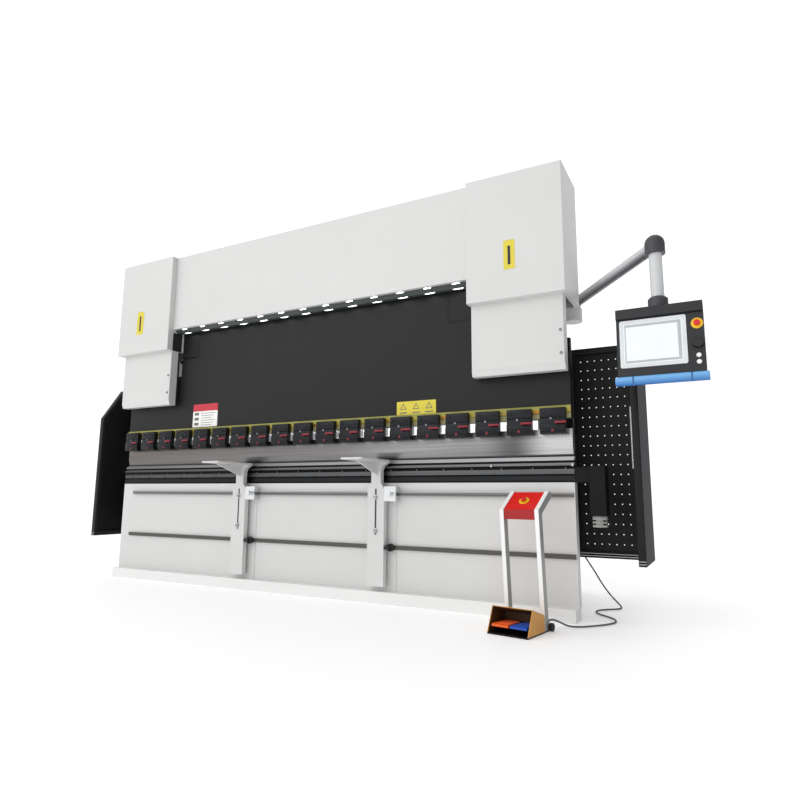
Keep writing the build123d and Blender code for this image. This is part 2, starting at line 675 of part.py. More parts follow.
def pendant_case():
    """The control pendant: a wedge case under a deeper hood, its face leaning back."""
    x, y = ARM_ELBOW
    front = y - CASE_DEPTH / 2
    back = y + CASE_DEPTH / 2
    low = CASE_TOP - CASE_HEIGHT
    hood = CASE_TOP - CASE_HOOD
    points = [(back, CASE_TOP), (front - 8, CASE_TOP), (front - 8, hood), (front + 6, hood - 6),
              (front - CASE_LEAN + 6, low + 24), (front - CASE_LEAN, low), (back - 20, low), (back, low + 40)]
    case = along_x(points, x - CASE_WIDTH / 2, x + CASE_WIDTH / 2)
    case = fillet(case.edges().filter_by(Axis.X).group_by(Axis.Z)[-1], 6)
    return case - on_face(BUTTON_X, STOP_Z, stem_bore())


def face_y(z):
    """How far forward the pendant's leaning face stands at a height."""
    front = ARM_ELBOW[1] - CASE_DEPTH / 2
    low = CASE_TOP - CASE_HEIGHT + 24
    high = CASE_TOP - CASE_HOOD - 6
    share = (high - z) / (high - low)
    return front + 6 - share * CASE_LEAN


def face_tilt():
    """The lean of the pendant's face, in degrees."""
    return math.degrees(math.atan2(CASE_LEAN, CASE_HEIGHT - CASE_HOOD - 30))


def on_face(dx, z, shape):
    """Puts a piece drawn with its back on the XY plane onto the leaning face."""
    return Pos(ARM_ELBOW[0] + dx, face_y(z), z) * Rot(90 - face_tilt(), 0, 0) * shape


def pendant_screen():
    """The pale screen with its raised bezel."""
    z = CASE_TOP - CASE_HOOD - 8 - SCREEN_HEIGHT / 2 - 4
    bezel = extrude(RectangleRounded(SCREEN_WIDTH, SCREEN_HEIGHT, 10), 5)
    bezel -= Pos(0, 0, 3) * extrude(RectangleRounded(SCREEN_WIDTH - 36, SCREEN_HEIGHT - 36, 6), 2)
    return on_face(SCREEN_X, z, bezel)


def pendant_grip():
    """The blue hand rail along the foot of the pendant."""
    x, y = ARM_ELBOW
    low = CASE_TOP - CASE_HEIGHT
    half = CASE_WIDTH / 2 + GRIP_OVERHANG
    centre_y = y - CASE_DEPTH / 2 - 10
    bar = Pos(x, centre_y, low - GRIP_RADIUS) * Rot(0, 90, 0) * Cylinder(GRIP_RADIUS, 2 * half)
    bar += block(x - CASE_WIDTH / 2, x + CASE_WIDTH / 2, centre_y, y + 20, low - 12, low)
    return bar


STOP_Z = CASE_TOP - CASE_HOOD - STOP_DROP
DIAL_Z = CASE_TOP - CASE_HOOD - DIAL_DROP


def mushroom():
    """A mushroom button, drawn on the XY plane with its stem reaching below it."""
    stem = Pos(0, 0, (STOP_LIFT - STEM_DEPTH) / 2) * Cylinder(STEM_RADIUS, STOP_LIFT + STEM_DEPTH)
    cap = Pos(0, 0, STOP_LIFT + STOP_CAP / 2) * Cylinder(STOP_RADIUS, STOP_CAP)
    cap = fillet(cap.edges().sort_by(Axis.Z)[-1], STOP_CAP * 0.4)
    return stem + cap


def stem_bore():
    """The bore that a mushroom button's stem slides in, with room for its travel."""
    deep = STEM_DEPTH + STOP_LIFT
    return Pos(0, 0, (1 - deep) / 2) * Cylinder(STEM_RADIUS + FIT_GAP, deep + 1)


def pendant_stop():
    """The stop button of the pendant."""
    return on_face(BUTTON_X, STOP_Z, mushroom())


def pendant_knob():
    """The black hand dial of the pendant."""
    dial = Pos(0, 0, 8) * Cylinder(DIAL_RADIUS, 16)
    dial = fillet(dial.edges().sort_by(Axis.Z)[-1], 3)
    return on_face(BUTTON_X, DIAL_Z, Pos(0, 0, FIT_GAP) * dial)


def pendant_buttons():
    """The two pale push buttons under the dial."""
    cap = Pos(0, 0, 3) * Cylinder(BUTTON_RADIUS, 6)
    return [on_face(BUTTON_X, CASE_TOP - CASE_HOOD - drop, cap) for drop in BUTTON_DROPS]


STAND_LEFT = STAND_X - STAND_WIDTH / 2
STAND_RIGHT = STAND_X + STAND_WIDTH / 2
LEG_REAR = STAND_Y + LEG_SECTION[1] / 2
LEG_FRONT = STAND_Y - LEG_SECTION[1] / 2
SHROUD_FRONT = LEG_REAR - SHROUD_DEPTH


def on_stand(shape):
    """Turns a piece of the stand to where the stand faces."""
    return Pos(STAND_X, STAND_Y, 0) * Rot(0, 0, STAND_TURN) * Pos(-STAND_X, -STAND_Y, 0) * shape


def leg_line(z):
    """Where the front of the stand's legs is at a height: they lean forward, then rake back at the head."""
    if z <= STAND_BEND:
        return LEG_FRONT - STAND_LEAN * (z - BASE_PLATE) / (STAND_BEND - BASE_PLATE)
    return LEG_FRONT - STAND_LEAN + STAND_RAKE * (z - STAND_BEND) / (STAND_TOP - STAND_BEND)


def stand_leg(x0):
    """One leg of the pedal stand, bent back at its head."""
    depth = LEG_SECTION[1]
    knee = STAND_BEND - depth * 0.45
    tip = leg_line(STAND_TOP)
    points = [(LEG_FRONT, BASE_PLATE), (LEG_REAR, BASE_PLATE), (leg_line(knee) + depth, knee),
              (tip + depth * 0.64, STAND_TOP - depth * 0.75), (tip + depth * 0.77, STAND_TOP - depth * 0.23),
              (tip, STAND_TOP), (leg_line(STAND_BEND), STAND_BEND)]
    return along_x(points, x0, x0 + LEG_SECTION[0])


def stand_base():
    """The steel plate under the stand, with the ears and the pin that carry the pedals."""
    base = block(STAND_LEFT, STAND_RIGHT, SHROUD_FRONT, LEG_REAR, 0, BASE_PLATE)
    for x in pedal_ear_xs():
        base += block(x - 3, x + 3, PEDAL_PIVOT_Y - 12, PEDAL_PIVOT_Y + 12, BASE_PLATE, PEDAL_PIVOT_Z + 12)
    ends = pedal_ear_xs()
    pin = Rot(0, 90, 0) * Cylinder(PIN_RADIUS, ends[-1] - ends[0])
    return base + Pos(STAND_X, PEDAL_PIVOT_Y, PEDAL_PIVOT_Z) * pin


def stand_head():
    """The red switch head between the legs."""
    top = STAND_TOP - 6
    knee = STAND_BEND - 16
    points = [(leg_line(HEAD_LOW) + 4, HEAD_LOW), (leg_line(HEAD_LOW) + 4 + HEAD_DEPTH, HEAD_LOW),
              (leg_line(knee) + 4 + HEAD_DEPTH, knee), (leg_line(top) + HEAD_DEPTH, top - 14),
              (leg_line(top) + 4, top), (leg_line(STAND_BEND) + 4, STAND_BEND)]
    head = along_x(points, STAND_LEFT + LEG_SECTION[0], STAND_RIGHT - LEG_SECTION[0])
    return head - on_head(stem_bore())


def head_point():
    """The middle of the head's raked face, and its rake in degrees."""
    top = STAND_TOP - 6
    y0, y1 = leg_line(STAND_BEND) + 4, leg_line(top) + 4
    lean = math.degrees(math.atan2(y1 - y0, top - STAND_BEND))
    return (y0 + y1) / 2, (STAND_BEND + top) / 2, lean


def on_head(shape):
    """Puts a piece drawn on the XY plane onto the middle of the raked face."""
    y, z, lean = head_point()
    return Pos(STAND_X, y, z) * Rot(90 - lean, 0, 0) * shape


def stand_stop():
    """The stop button of the stand."""
    return on_head(mushroom())


def pedal_shroud():
    """The guard over the pedals, open in front, its mouth cut back and its top falling to the rear."""
    wall = 4.0
    low = BASE_PLATE
    top = low + SHROUD_HEIGHT
    rear = leg_line(top) - 1
    outer = [(SHROUD_FRONT, low), (rear, low), (rear, top - SHROUD_FALL), (SHROUD_FRONT + MOUTH_RUN, top)]
    slope = SHROUD_FALL / (rear - SHROUD_FRONT - MOUTH_RUN)
    inner = [(SHROUD_FRONT - 1, low), (rear - wall, low), (rear - wall, top - SHROUD_FALL + wall * slope - wall),
             (SHROUD_FRONT - 1, top + (MOUTH_RUN + 1) * slope - wall)]
    return along_x(outer, STAND_LEFT, STAND_RIGHT) - along_x(inner, STAND_LEFT + wall, STAND_RIGHT - wall)


PEDAL_PIVOT_Y = LEG_FRONT - 40
PEDAL_PIVOT_Z = BASE_PLATE + 30


def pedal(x):
    """A foot pedal: a sloped tread on a pivot barrel."""
    front = PEDAL_PIVOT_Y - PEDAL_LENGTH
    z = PEDAL_PIVOT_Z
    half = PEDAL_WIDTH / 2
    points = [(PEDAL_PIVOT_Y, z + 8), (PEDAL_PIVOT_Y, z - 8), (front + 10, z - 4), (front, z), (front, z + 10),
              (front + 10, z + 13)]
    tread = along_x(points, x - half, x + half)
    barrel = Pos(x, PEDAL_PIVOT_Y, z) * Rot(0, 90, 0) * Cylinder(10, PEDAL_WIDTH)
    bore = Pos(x, PEDAL_PIVOT_Y, z) * Rot(0, 90, 0) * Cylinder(PIN_RADIUS + FIT_GAP, PEDAL_WIDTH)
    return tread + barrel - bore


def pedal_xs():
    """The middles of the two pedals."""
    return (STAND_X - PEDAL_WIDTH / 2 - 5, STAND_X + PEDAL_WIDTH / 2 + 5)


def pedal_ear_xs():
    """The middles of the ears on each side of the pedals."""
    outer = PEDAL_WIDTH + 5 + 4
    return (STAND_X - outer, STAND_X, STAND_X + outer)


def stand_wheels():
    """The two wheels behind the stand, for tipping it back and rolling it away."""
    wheels = []
    for x in (STAND_LEFT - WHEEL_WIDTH / 2 - 4, STAND_RIGHT + WHEEL_WIDTH / 2 + 4):
        wheel = Pos(x, LEG_REAR + 4, WHEEL_RADIUS + 1) * Rot(0, 90, 0) * Cylinder(WHEEL_RADIUS, WHEEL_WIDTH)
        inner = STAND_LEFT if x < STAND_X else STAND_RIGHT
        wheel += Pos((x + inner) / 2, LEG_REAR - 8, WHEEL_RADIUS + 1) * Rot(0, 90, 0) * Cylinder(6, abs(x - inner))
        wheels.append(wheel)
    return wheels


# The cable's route from the gland on the frame, over the floor, to the stand
CABLE_STEPS = [(-262, 640, 430), (-214, 640, 430), (-162, 642, 404), (-120, 645, 350), (-78, 648, 280),
               (-34, 645, 214), (6, 637, 146), (58, 622, 78), (118, 590, 26), (152, 540, 6), (130, 482, 6),
               (76, 440, 6), (28, 384, 6), (22, 312, 6), (58, 246, 6), (120, 190, 6), (176, 118, 6), (188, 30, 6),
               (150, -54, 6), (92, -128, 6), (32, -192, 6), (-26, -206, 6), (-66, -222, 26), (-93, -250, 42)]
LEG_EXIT = (104.0, 40.0, 50.0)
LEG_RUN = 44.0


def stand_point(dx, dy, z):
    """A point on the turned stand, given from the middle of its legs."""
    turn = math.radians(STAND_TURN)
    return (round(STAND_X + dx * math.cos(turn) - dy * math.sin(turn), 1),
            round(STAND_Y + dx * math.sin(turn) + dy * math.cos(turn), 1), z)


CABLE_ROUTE = [(BED_END + x, y, z) for x, y, z in CABLE_STEPS]
CABLE_ROUTE += [stand_point(LEG_EXIT[0], LEG_EXIT[1] + LEG_RUN, LEG_EXIT[2]), stand_point(*LEG_EXIT)]


def turn_radii(points):
    """The largest round that each corner of the route has room for."""
    radii = []
    for before, here, after in zip(points, points[1:], points[2:]):
        a, b = Vector(*here) - Vector(*before), Vector(*after) - Vector(*here)
        turn = math.radians(a.get_angle(b))
        radii.append(0.45 * min(a.length, b.length) / math.tan(turn / 2))
    return radii


def pedal_cable():
    """The cable of the pedal stand."""
    radii = turn_radii(CABLE_ROUTE)
    print("cable radii", [round(r) for r in radii])
    path = FilletPolyline(*CABLE_ROUTE, radius=radii)
    start = Plane(origin=path @ 0, z_dir=path % 0)
    tube = sweep(start * Circle(CABLE_RADIUS), path=path)
    print("cable length", round(path.length), "volume over section", round(tube.volume / (math.pi * CABLE_RADIUS ** 2)))
    return tube


def cable_gland():
    """The gland on the right frame where the cable comes out."""
    x, y, z = CABLE_ROUTE[0]
    side = FRAME_X + FRAME_THICK / 2
    nut = Pos((side + x) / 2, y, z) * Rot(0, 90, 0) * extrude(Pos(0, 0, -(x - side) / 2) * RegularPolygon(16, 6), x - side)
    return nut


def stand_gland():
    """The gland on the back of the stand's right leg where the cable goes in."""
    dx, dy, z = LEG_EXIT
    x, y, half = STAND_X + dx, STAND_Y + dy, 9.0
    points = [(leg_line(z - half) + LEG_SECTION[1], z - half), (y, z - half), (y, z + half),
              (leg_line(z + half) + LEG_SECTION[1], z + half)]
    return along_x(points, x - half, x + half)


def main():
    os.makedirs("parts", exist_ok=True)
    save("bed_beam", bed_beam())
    save("bed_foot", bed_foot())
    save("crowning_table", crowning_table())
    save("die_rail", die_rail())
    save("lower_die", lower_die())
    save("crowning_drive", crowning_drive())
    save("ram_plate", ram_plate())
    save("tool_strip", tool_strip())
    save("piston_rods", *piston_rods())
    save("upper_punch", upper_punch())
    save("punch_clamps", *[clamp_at(x) for x in clamp_centres()])
    save("clamp_levers", *[lever_at(x) for x in clamp_centres()])
    for name, piece in (("side_frames", side_frame()), ("cylinders", cylinder_body()),
                        ("cylinder_covers", cylinder_cover()), ("cover_skirts", cover_skirt()),
                        ("fence_posts", hinge_post())):
        save(name, mirrored(piece), piece)
    save("cover_seals", *[mirrored(seal) for seal in cover_seals()], *cover_seals())
    for name, piece in (("fence_door", fence_door()), ("fence_handle", fence_handle())):
        save("left_" + name, mirrored(piece))
        save("right_" + name, piece)
    save("centre_cover", centre_cover())
    save("work_light", work_light())
    save("oil_tank", oil_tank())
    save("rear_ties", *rear_ties())
    save("support_rails", *support_rails())
    for side, x in zip(("left", "right"), SUPPORT_X):
        save(side + "_support", support_leg(x))
        save(side + "_carriage", support_carriage(x))
        save(side + "_roller", support_roller(x))
    save("arm_base", arm_base())
    save("pendant_arm", pendant_arm())
    save("arm_elbow", arm_elbow())
    save("drop_tube", drop_tube())
    save("pendant_collar", pendant_collar())
    save("pendant_case", pendant_case())
    save("pendant_screen", pendant_screen())
    save("pendant_grip", pendant_grip())
    save("pendant_buttons", *pendant_buttons())
    save("pendant_stop", pendant_stop())
    save("pendant_dial", pendant_knob())
    save("stand_base", on_stand(stand_base()))
    save("stand_legs", on_stand(stand_leg(STAND_LEFT)), on_stand(stand_leg(STAND_RIGHT - LEG_SECTION[0])))
    save("stand_head", on_stand(stand_head()))
    save("stand_stop", on_stand(stand_stop()))
    save("pedal_shroud", on_stand(pedal_shroud()))
    for side, x in zip(("left", "right"), pedal_xs()):
        save(side + "_pedal", on_stand(pedal(x)))
    save("stand_wheels", *[on_stand(wheel) for wheel in stand_wheels()])
    save("pedal_cable", pedal_cable())
    save("cable_glands", cable_gland(), on_stand(stand_gland()))


main()
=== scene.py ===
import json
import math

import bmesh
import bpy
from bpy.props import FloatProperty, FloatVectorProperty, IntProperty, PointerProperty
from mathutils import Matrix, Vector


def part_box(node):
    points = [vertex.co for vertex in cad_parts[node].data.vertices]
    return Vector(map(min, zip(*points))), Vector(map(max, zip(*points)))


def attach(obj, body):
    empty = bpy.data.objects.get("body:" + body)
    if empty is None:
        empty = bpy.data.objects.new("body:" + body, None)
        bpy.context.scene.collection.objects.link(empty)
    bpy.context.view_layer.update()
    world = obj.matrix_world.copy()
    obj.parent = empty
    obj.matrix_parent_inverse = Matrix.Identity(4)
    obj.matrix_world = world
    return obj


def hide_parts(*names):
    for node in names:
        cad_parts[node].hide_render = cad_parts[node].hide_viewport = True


bl_info = {
    "name": "Press Brake",
    "version": (1, 0, 0),
    "blender": (4, 5, 0),
    "location": "View3D > Sidebar > Press Brake",
    "description": "Finishes and small fittings of a hydraulic press brake",
    "category": "Object",
}

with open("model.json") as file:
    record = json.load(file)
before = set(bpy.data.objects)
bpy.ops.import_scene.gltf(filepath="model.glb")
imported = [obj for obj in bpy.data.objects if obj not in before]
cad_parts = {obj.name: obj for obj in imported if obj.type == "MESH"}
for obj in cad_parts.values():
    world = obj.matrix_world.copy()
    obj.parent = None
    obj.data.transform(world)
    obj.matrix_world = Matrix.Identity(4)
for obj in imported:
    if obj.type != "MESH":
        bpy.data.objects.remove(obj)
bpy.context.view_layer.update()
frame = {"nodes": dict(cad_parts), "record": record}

# Sizes of the machine that the fittings follow, read from the model
STRIP_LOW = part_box("tool_strip")[0]
CLAMP_LOW, CLAMP_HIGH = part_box("punch_clamps")
PUNCH_LOW, PUNCH_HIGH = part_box("upper_punch")
RAM_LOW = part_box("ram_plate")[0]
COVER_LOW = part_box("cylinder_covers")[0]
SKIRT_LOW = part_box("cover_skirts")[0]
BED_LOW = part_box("bed_beam")[0]
LIGHT_LOW, LIGHT_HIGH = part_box("work_light")
DOOR_LOW, DOOR_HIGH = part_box("right_fence_door")
CASE_LOW, CASE_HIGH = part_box("pendant_case")
MM = 0.001
BED_HALF = 2.0


def linear(code):
    """Turns an sRGB hex colour into the linear values that Blender works in."""
    parts = [int(code[i:i + 2], 16) / 255 for i in (0, 2, 4)]
    return [p / 12.92 if p <= 0.04045 else ((p + 0.055) / 1.055) ** 2.4 for p in parts]


def tone(colour):
    """A colour's linear values, from a hex code or from a setting."""
    return linear(colour) if isinstance(colour, str) else list(colour)


# Settings

def colour_setting(name, description, code):
    """A colour among the settings, from a hex code."""
    return FloatVectorProperty(name=name, description=description, subtype="COLOR", size=3, min=0, max=1,
                               default=linear(code))


def length_setting(name, description, default, low, high):
    """A length among the settings, in metres."""
    return FloatProperty(name=name, description=description, default=default, min=low, max=high,
                         unit="LENGTH")


class PressBrakeColours(bpy.types.PropertyGroup):
    machine: colour_setting("Machine paint", "Powder coat of the covers and the bed", "D4D4D3")
    ram: colour_setting("Ram paint", "Dark paint of the ram", "151517")
    strip: colour_setting("Strip paint", "Yellow strip along the foot of the ram", "B9AA42")
    fence: colour_setting("Fence coat", "Black powder coat of the side fences", "0D0D0F")
    stop: colour_setting("Stop red", "Red of the stop buttons", "D81E1A")
    left_pedal: colour_setting("Left pedal", "Colour of the left pedal", "F0621C")
    right_pedal: colour_setting("Right pedal", "Colour of the right pedal", "1F4FB4")
    grip: colour_setting("Grip blue", "Blue of the pendant's hand rail", "74B2E8")


class PressBrakeSizes(bpy.types.PropertyGroup):
    hole: length_setting("Fence hole", "Width of one hole in the fences", 0.0068, 0.004, 0.03)
    hole_pitch_x: length_setting("Hole pitch across", "Spacing of the fence holes across", 0.0451, 0.02, 0.2)
    hole_pitch_z: length_setting("Hole pitch up", "Spacing of the fence holes upwards", 0.0629, 0.02, 0.2)
    fence_tube: length_setting("Fence tube", "Width of the fence frames", 0.040, 0.02, 0.1)
    clamp_width: length_setting("Clamp width", "Width of one quick clamp", 0.158, 0.05, 0.3)
    clamp_count: IntProperty(name="Clamps", description="Number of quick clamps", default=19, min=1, max=60)
    lamp_count: IntProperty(name="Lamps", description="Lamps in each row of the light bar", default=13, min=1,
                            max=80)
    cable: length_setting("Cable", "Diameter of the pedal cable", 0.010, 0.002, 0.03)


class PressBrakeStage(bpy.types.PropertyGroup):
    floor: length_setting("Floor", "Side of the square floor", 60.0, 5.0, 200.0)
    key: FloatProperty(name="Key light", description="Power of the main soft light", default=70.0, min=0)
    side: FloatProperty(name="Side light", description="Power of the light on the right", default=8.0, min=0)
    sky: FloatProperty(name="Sky", description="Strength of the white surroundings", default=1.15, min=0)
    dusk: FloatProperty(name="Dusk", description="Strength of the surroundings on the right", default=0.35,
                        min=0)


# Modelling helpers

def deselect():
    """Leaves edit mode and selects nothing."""
    if bpy.context.object and bpy.context.object.mode != "OBJECT":
        bpy.ops.object.mode_set(mode="OBJECT")
    bpy.ops.object.select_all(action="DESELECT")


def apply_place(piece):
    """Moves a piece's place, turn and scale into its mesh."""
    deselect()
    piece.select_set(True)
    bpy.context.view_layer.objects.active = piece
    bpy.ops.object.transform_apply(location=True, rotation=True, scale=True)
    return piece


def add_block(name, low, high):
    """Adds a block between two corners."""
    deselect()
    low, high = Vector(low), Vector(high)
    bpy.ops.mesh.primitive_cube_add(size=1, location=(low + high) / 2)
    piece = bpy.context.object
    piece.name = name
    piece.scale = high - low
    return apply_place(piece)


def add_rod(name, centre, axis, radius, length, sides=32):
    """Adds a round bar about an axis."""
    deselect()
    turn = Vector((0, 0, 1)).rotation_difference(Vector(axis)).to_euler()
    bpy.ops.mesh.primitive_cylinder_add(vertices=sides, radius=radius, depth=length, location=centre,
                                        rotation=turn)
    bpy.context.object.name = name
    return apply_place(bpy.context.object)


def pick_faces(piece, test):
    """Selects the faces of a piece that pass a test on their middle and normal, in edit mode."""
    bpy.context.view_layer.objects.active = piece
    if piece.mode != "EDIT":
        bpy.ops.object.mode_set(mode="EDIT")
    bpy.ops.mesh.select_mode(type="FACE")
    bpy.ops.mesh.select_all(action="DESELECT")
    mesh = bmesh.from_edit_mesh(piece.data)
    for face in mesh.faces:
        if test(face.calc_center_median(), face.normal):
            face.select_set(True)
    bmesh.update_edit_mesh(piece.data)


def cut(piece, point, normal):
    """Cuts a new edge loop across a piece where a plane meets it."""
    bpy.context.view_layer.objects.active = piece
    if piece.mode != "EDIT":
        bpy.ops.object.mode_set(mode="EDIT")
    bpy.ops.mesh.select_all(action="SELECT")
    bpy.ops.mesh.bisect(plane_co=point, plane_no=normal)


def push(depth):
    """Extrudes the picked faces together along their normal, outwards where depth is positive."""
    bpy.ops.mesh.extrude_region_shrink_fatten(TRANSFORM_OT_shrink_fatten={"value": depth})


def apply_modifier(piece, kind, **settings):
    """Leaves edit mode, adds a modifier with its settings and applies it."""
    deselect()
    piece.select_set(True)
    bpy.context.view_layer.objects.active = piece
    bpy.ops.object.modifier_add(type=kind)
    modifier = piece.modifiers[-1]
    for key, value in settings.items():
        setattr(modifier, key, value)
    bpy.ops.object.modifier_apply(modifier=modifier.name)
    return piece


def bevel_edges(piece, width, segments=2, angle=30):
    """Rounds a piece's edges."""
    return apply_modifier(piece, "BEVEL", width=width, segments=segments, limit_method="ANGLE",
                          angle_limit=math.radians(angle), harden_normals=False)


def thicken(piece, thickness):
    """Gives a flat sheet its thickness."""
    return apply_modifier(piece, "SOLIDIFY", thickness=thickness, offset=0)


def round_corners(piece, axis, radius, segments):
    """Rounds the four corners of a panel whose thickness runs along the axis, 0 to 2."""
    bpy.ops.object.mode_set(mode="EDIT")
    bpy.ops.mesh.select_mode(type="EDGE")
    bpy.ops.mesh.select_all(action="DESELECT")
    mesh = bmesh.from_edit_mesh(piece.data)
    for edge in mesh.edges:
        along = edge.verts[1].co - edge.verts[0].co
        if abs(along[axis]) > 0.9 * along.length:
            edge.select_set(True)
    bmesh.update_edit_mesh(piece.data)
    bpy.ops.mesh.bevel(offset=radius, segments=segments)
    bpy.ops.object.mode_set(mode="OBJECT")
    return piece


def add_outline(name, outline):
    """Adds one flat face from the points of its outline, picked and in edit mode."""
    deselect()
    mesh = bpy.data.meshes.new(name)
    mesh.from_pydata([tuple(p) for p in outline], [], [tuple(range(len(outline)))])
    piece = bpy.data.objects.new(name, mesh)
    bpy.context.scene.collection.objects.link(piece)
    pick_faces(piece, lambda c, n: True)
    return piece


def copy_by(piece, offset):
    """Copies a piece with its own mesh and moves the copy."""
    twin = piece.copy()
    twin.data = piece.data.copy()
    twin.data.transform(Matrix.Translation(Vector(offset)))
    bpy.context.scene.collection.objects.link(twin)
    return twin


def join(name, pieces):
    """Joins pieces into one."""
    deselect()
    for piece in pieces:
        piece.select_set(True)
    bpy.context.view_layer.objects.active = pieces[0]
    if len(pieces) > 1:
        bpy.ops.object.join()
    whole = bpy.context.view_layer.objects.active
    whole.name = name
    return whole


def paint(piece, material):
    """Gives a whole piece one material."""
    piece.data.materials.clear()
    piece.data.materials.append(material)
    return piece


def fit(piece, finish, body):
    """Paints a finished piece, closes and smooths its surface and lets it ride on its body."""
    paint(piece, MATERIALS[finish])
    apply_place(piece)
    bpy.ops.object.mode_set(mode="EDIT")
    bpy.ops.mesh.select_all(action="SELECT")
    bpy.ops.mesh.normals_make_consistent(inside=False)
    bpy.ops.object.mode_set(mode="OBJECT")
    bpy.ops.object.shade_smooth_by_angle(angle=math.radians(30))
    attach(piece, body)
    return piece


def mirror_x(piece):
    """Turns a piece into its mirror image on the other side of the machine."""
    piece.data.transform(Matrix.Scale(-1, 4, Vector((1, 0, 0))))
    piece.data.flip_normals()
    return piece


# Materials

def add_node(tree, kind, links=None, values=None, **settings):
    """Adds one shader node with its settings, its input values and the links that feed it."""
    node = tree.nodes.new("ShaderNode" + kind)
    for key, value in settings.items():
        setattr(node, key, value)
    for key, value in (values or {}).items():
        node.inputs[key].default_value = value
    for key, source in (links or {}).items():
        tree.links.new(source, node.inputs[key])
    return node


def new_material(name, roughness, metallic=0.0, **values):
    """Starts a material with its shader; the base colour is linked or set by the caller."""
    material = bpy.data.materials.new(name)
    material.use_nodes = True
    tree = material.node_tree
    shader = tree.nodes["Principled BSDF"]
    shader.inputs["Metallic"].default_value = metallic
    shader.inputs["Roughness"].default_value = roughness
    for key, value in values.items():
        shader.inputs[key.replace("_", " ").title().replace("Ior", "IOR")].default_value = value
    place = add_node(tree, "TexCoord")
    return material, tree, shader, place.outputs["Object"]


def mottle(tree, place, colour, scale, spread, stretch=(1, 1, 1)):
    """A colour that drifts a little lighter and darker over a surface; scale is patches per metre."""
    mapped = add_node(tree, "Mapping", {"Vector": place}, {"Scale": stretch})
    noise = add_node(tree, "TexNoise", {"Vector": mapped.outputs[0]}, {"Scale": scale, "Detail": 4.0})
    ramp = add_node(tree, "ValToRGB", {"Fac": noise.outputs["Fac"]})
    for element, position, factor in zip(ramp.color_ramp.elements, (0.3, 0.7), (1 - spread, 1 + spread)):
        element.position = position
        element.color = [min(1, c * factor) for c in tone(colour)] + [1]
    return ramp.outputs["Color"]


def grain(tree, shader, place, per_metre, height, stretch=(1, 1, 1)):
    """Fine relief on a surface, per_metre grains to the metre and height metres deep."""
    mapped = add_node(tree, "Mapping", {"Vector": place}, {"Scale": stretch})
    noise = add_node(tree, "TexNoise", {"Vector": mapped.outputs[0]}, {"Scale": per_metre, "Detail": 2.0})
    bump = add_node(tree, "Bump", {"Height": noise.outputs["Fac"]}, {"Distance": height, "Strength": 0.6})
    tree.links.new(bump.outputs["Normal"], shader.inputs["Normal"])


def surface(name, colour, roughness, metallic, drift, relief=None, **values):
    """A material of one colour: drift is (patches per metre, spread, stretch) of the colour, and relief is
    (grains per metre, depth in metres, stretch)."""
    material, tree, shader, place = new_material(name, roughness, metallic, **values)
    tree.links.new(mottle(tree, place, colour, *drift), shader.inputs["Base Color"])
    if relief:
        grain(tree, shader, place, *relief)
    return material


# How far grinding and drawing lines are drawn out along the machine
ALONG = (0.02, 1, 1)


def powder_coat(name, colour, roughness=0.42, drift=0.015, **values):
    """Polyester powder coat on sheet steel: satin, with a soft orange peel drawn at 6 mm so that it shows."""
    return surface(name, colour, roughness, 0.0, (2.5, drift), (160, 0.00025), **values)


def ground_steel(name, colour, roughness=0.3, streak=0.16):
    """Tool steel ground along its length: grinding lines 2 mm apart, drawn coarse enough to show."""
    return surface(name, colour, roughness, 1.0, (60, streak, (0.05, 1, 8)), (500, 0.00006, ALONG))


def blued_steel(name, colour):
    """Machined steel blackened in hot oxide: dark, a little oily, with paler machined runs along it."""
    return surface(name, colour, 0.38, 0.75, (30, 0.3, (0.1, 1, 4)), (220, 0.0001))


def moulded_plastic(name, colour, roughness=0.35):
    """Injection-moulded ABS: a fine spark grain 3 mm across and a mild gloss."""
    return surface(name, colour, roughness, 0.0, (12, 0.03), (330, 0.00008))


def moulded_rubber(name, colour):
    """Moulded rubber: dull, with a faint bloom in patches 40 mm across."""
    return surface(name, colour, 0.75, 0.0, (25, 0.15), (400, 0.00015))


def anodised_aluminium(name, colour):
    """Extruded aluminium with a clear anodised film: pale grey, with die lines along it."""
    return surface(name, colour, 0.36, 0.9, (40, 0.08, (0.03, 1, 6)), (300, 0.00005, ALONG))


def chromed_steel(name):
    """Hard chrome on a piston rod: bright, with the faintest polishing marks round it."""
    return surface(name, "D8DADC", 0.12, 1.0, (90, 0.04, (1, 1, 0.2)))


def lamp_glow(name):
    """Opal lens over a light-emitting lamp: white and evenly bright."""
    return surface(name, "FFFFFF", 0.3, 0.0, (20, 0.02), emission_color=(1, 1, 1, 1), emission_strength=6.0)


def screen_glass(name, code, glow):
    """Anti-glare glass over a lit display: smooth, pale and a little bright from behind."""
    return surface(name, code, 0.18, 0.0, (6, 0.03), emission_color=linear(code) + [1],
                   emission_strength=glow)


def paint_with_painted_shade(name, colour, shade, axis, dark, pale, roughness=0.32):
    """Enamel with painted shade on one side, by the way its surface faces.
    It is pure where the normal's part along the axis reaches pale, and painted shade where it reaches dark."""
    material, tree, shader, place = new_material(name, roughness)
    tint = mottle(tree, place, colour, 2.5, 0.015)
    axes = add_node(tree, "SeparateXYZ", {"Vector": add_node(tree, "NewGeometry").outputs["Normal"]})
    share = add_node(tree, "MapRange", {"Value": axes.outputs[axis]}, {"From Min": dark, "From Max": pale})
    tree.links.new(mix_colours(tree, share.outputs[0], shade, tint), shader.inputs["Base Color"])
    return material


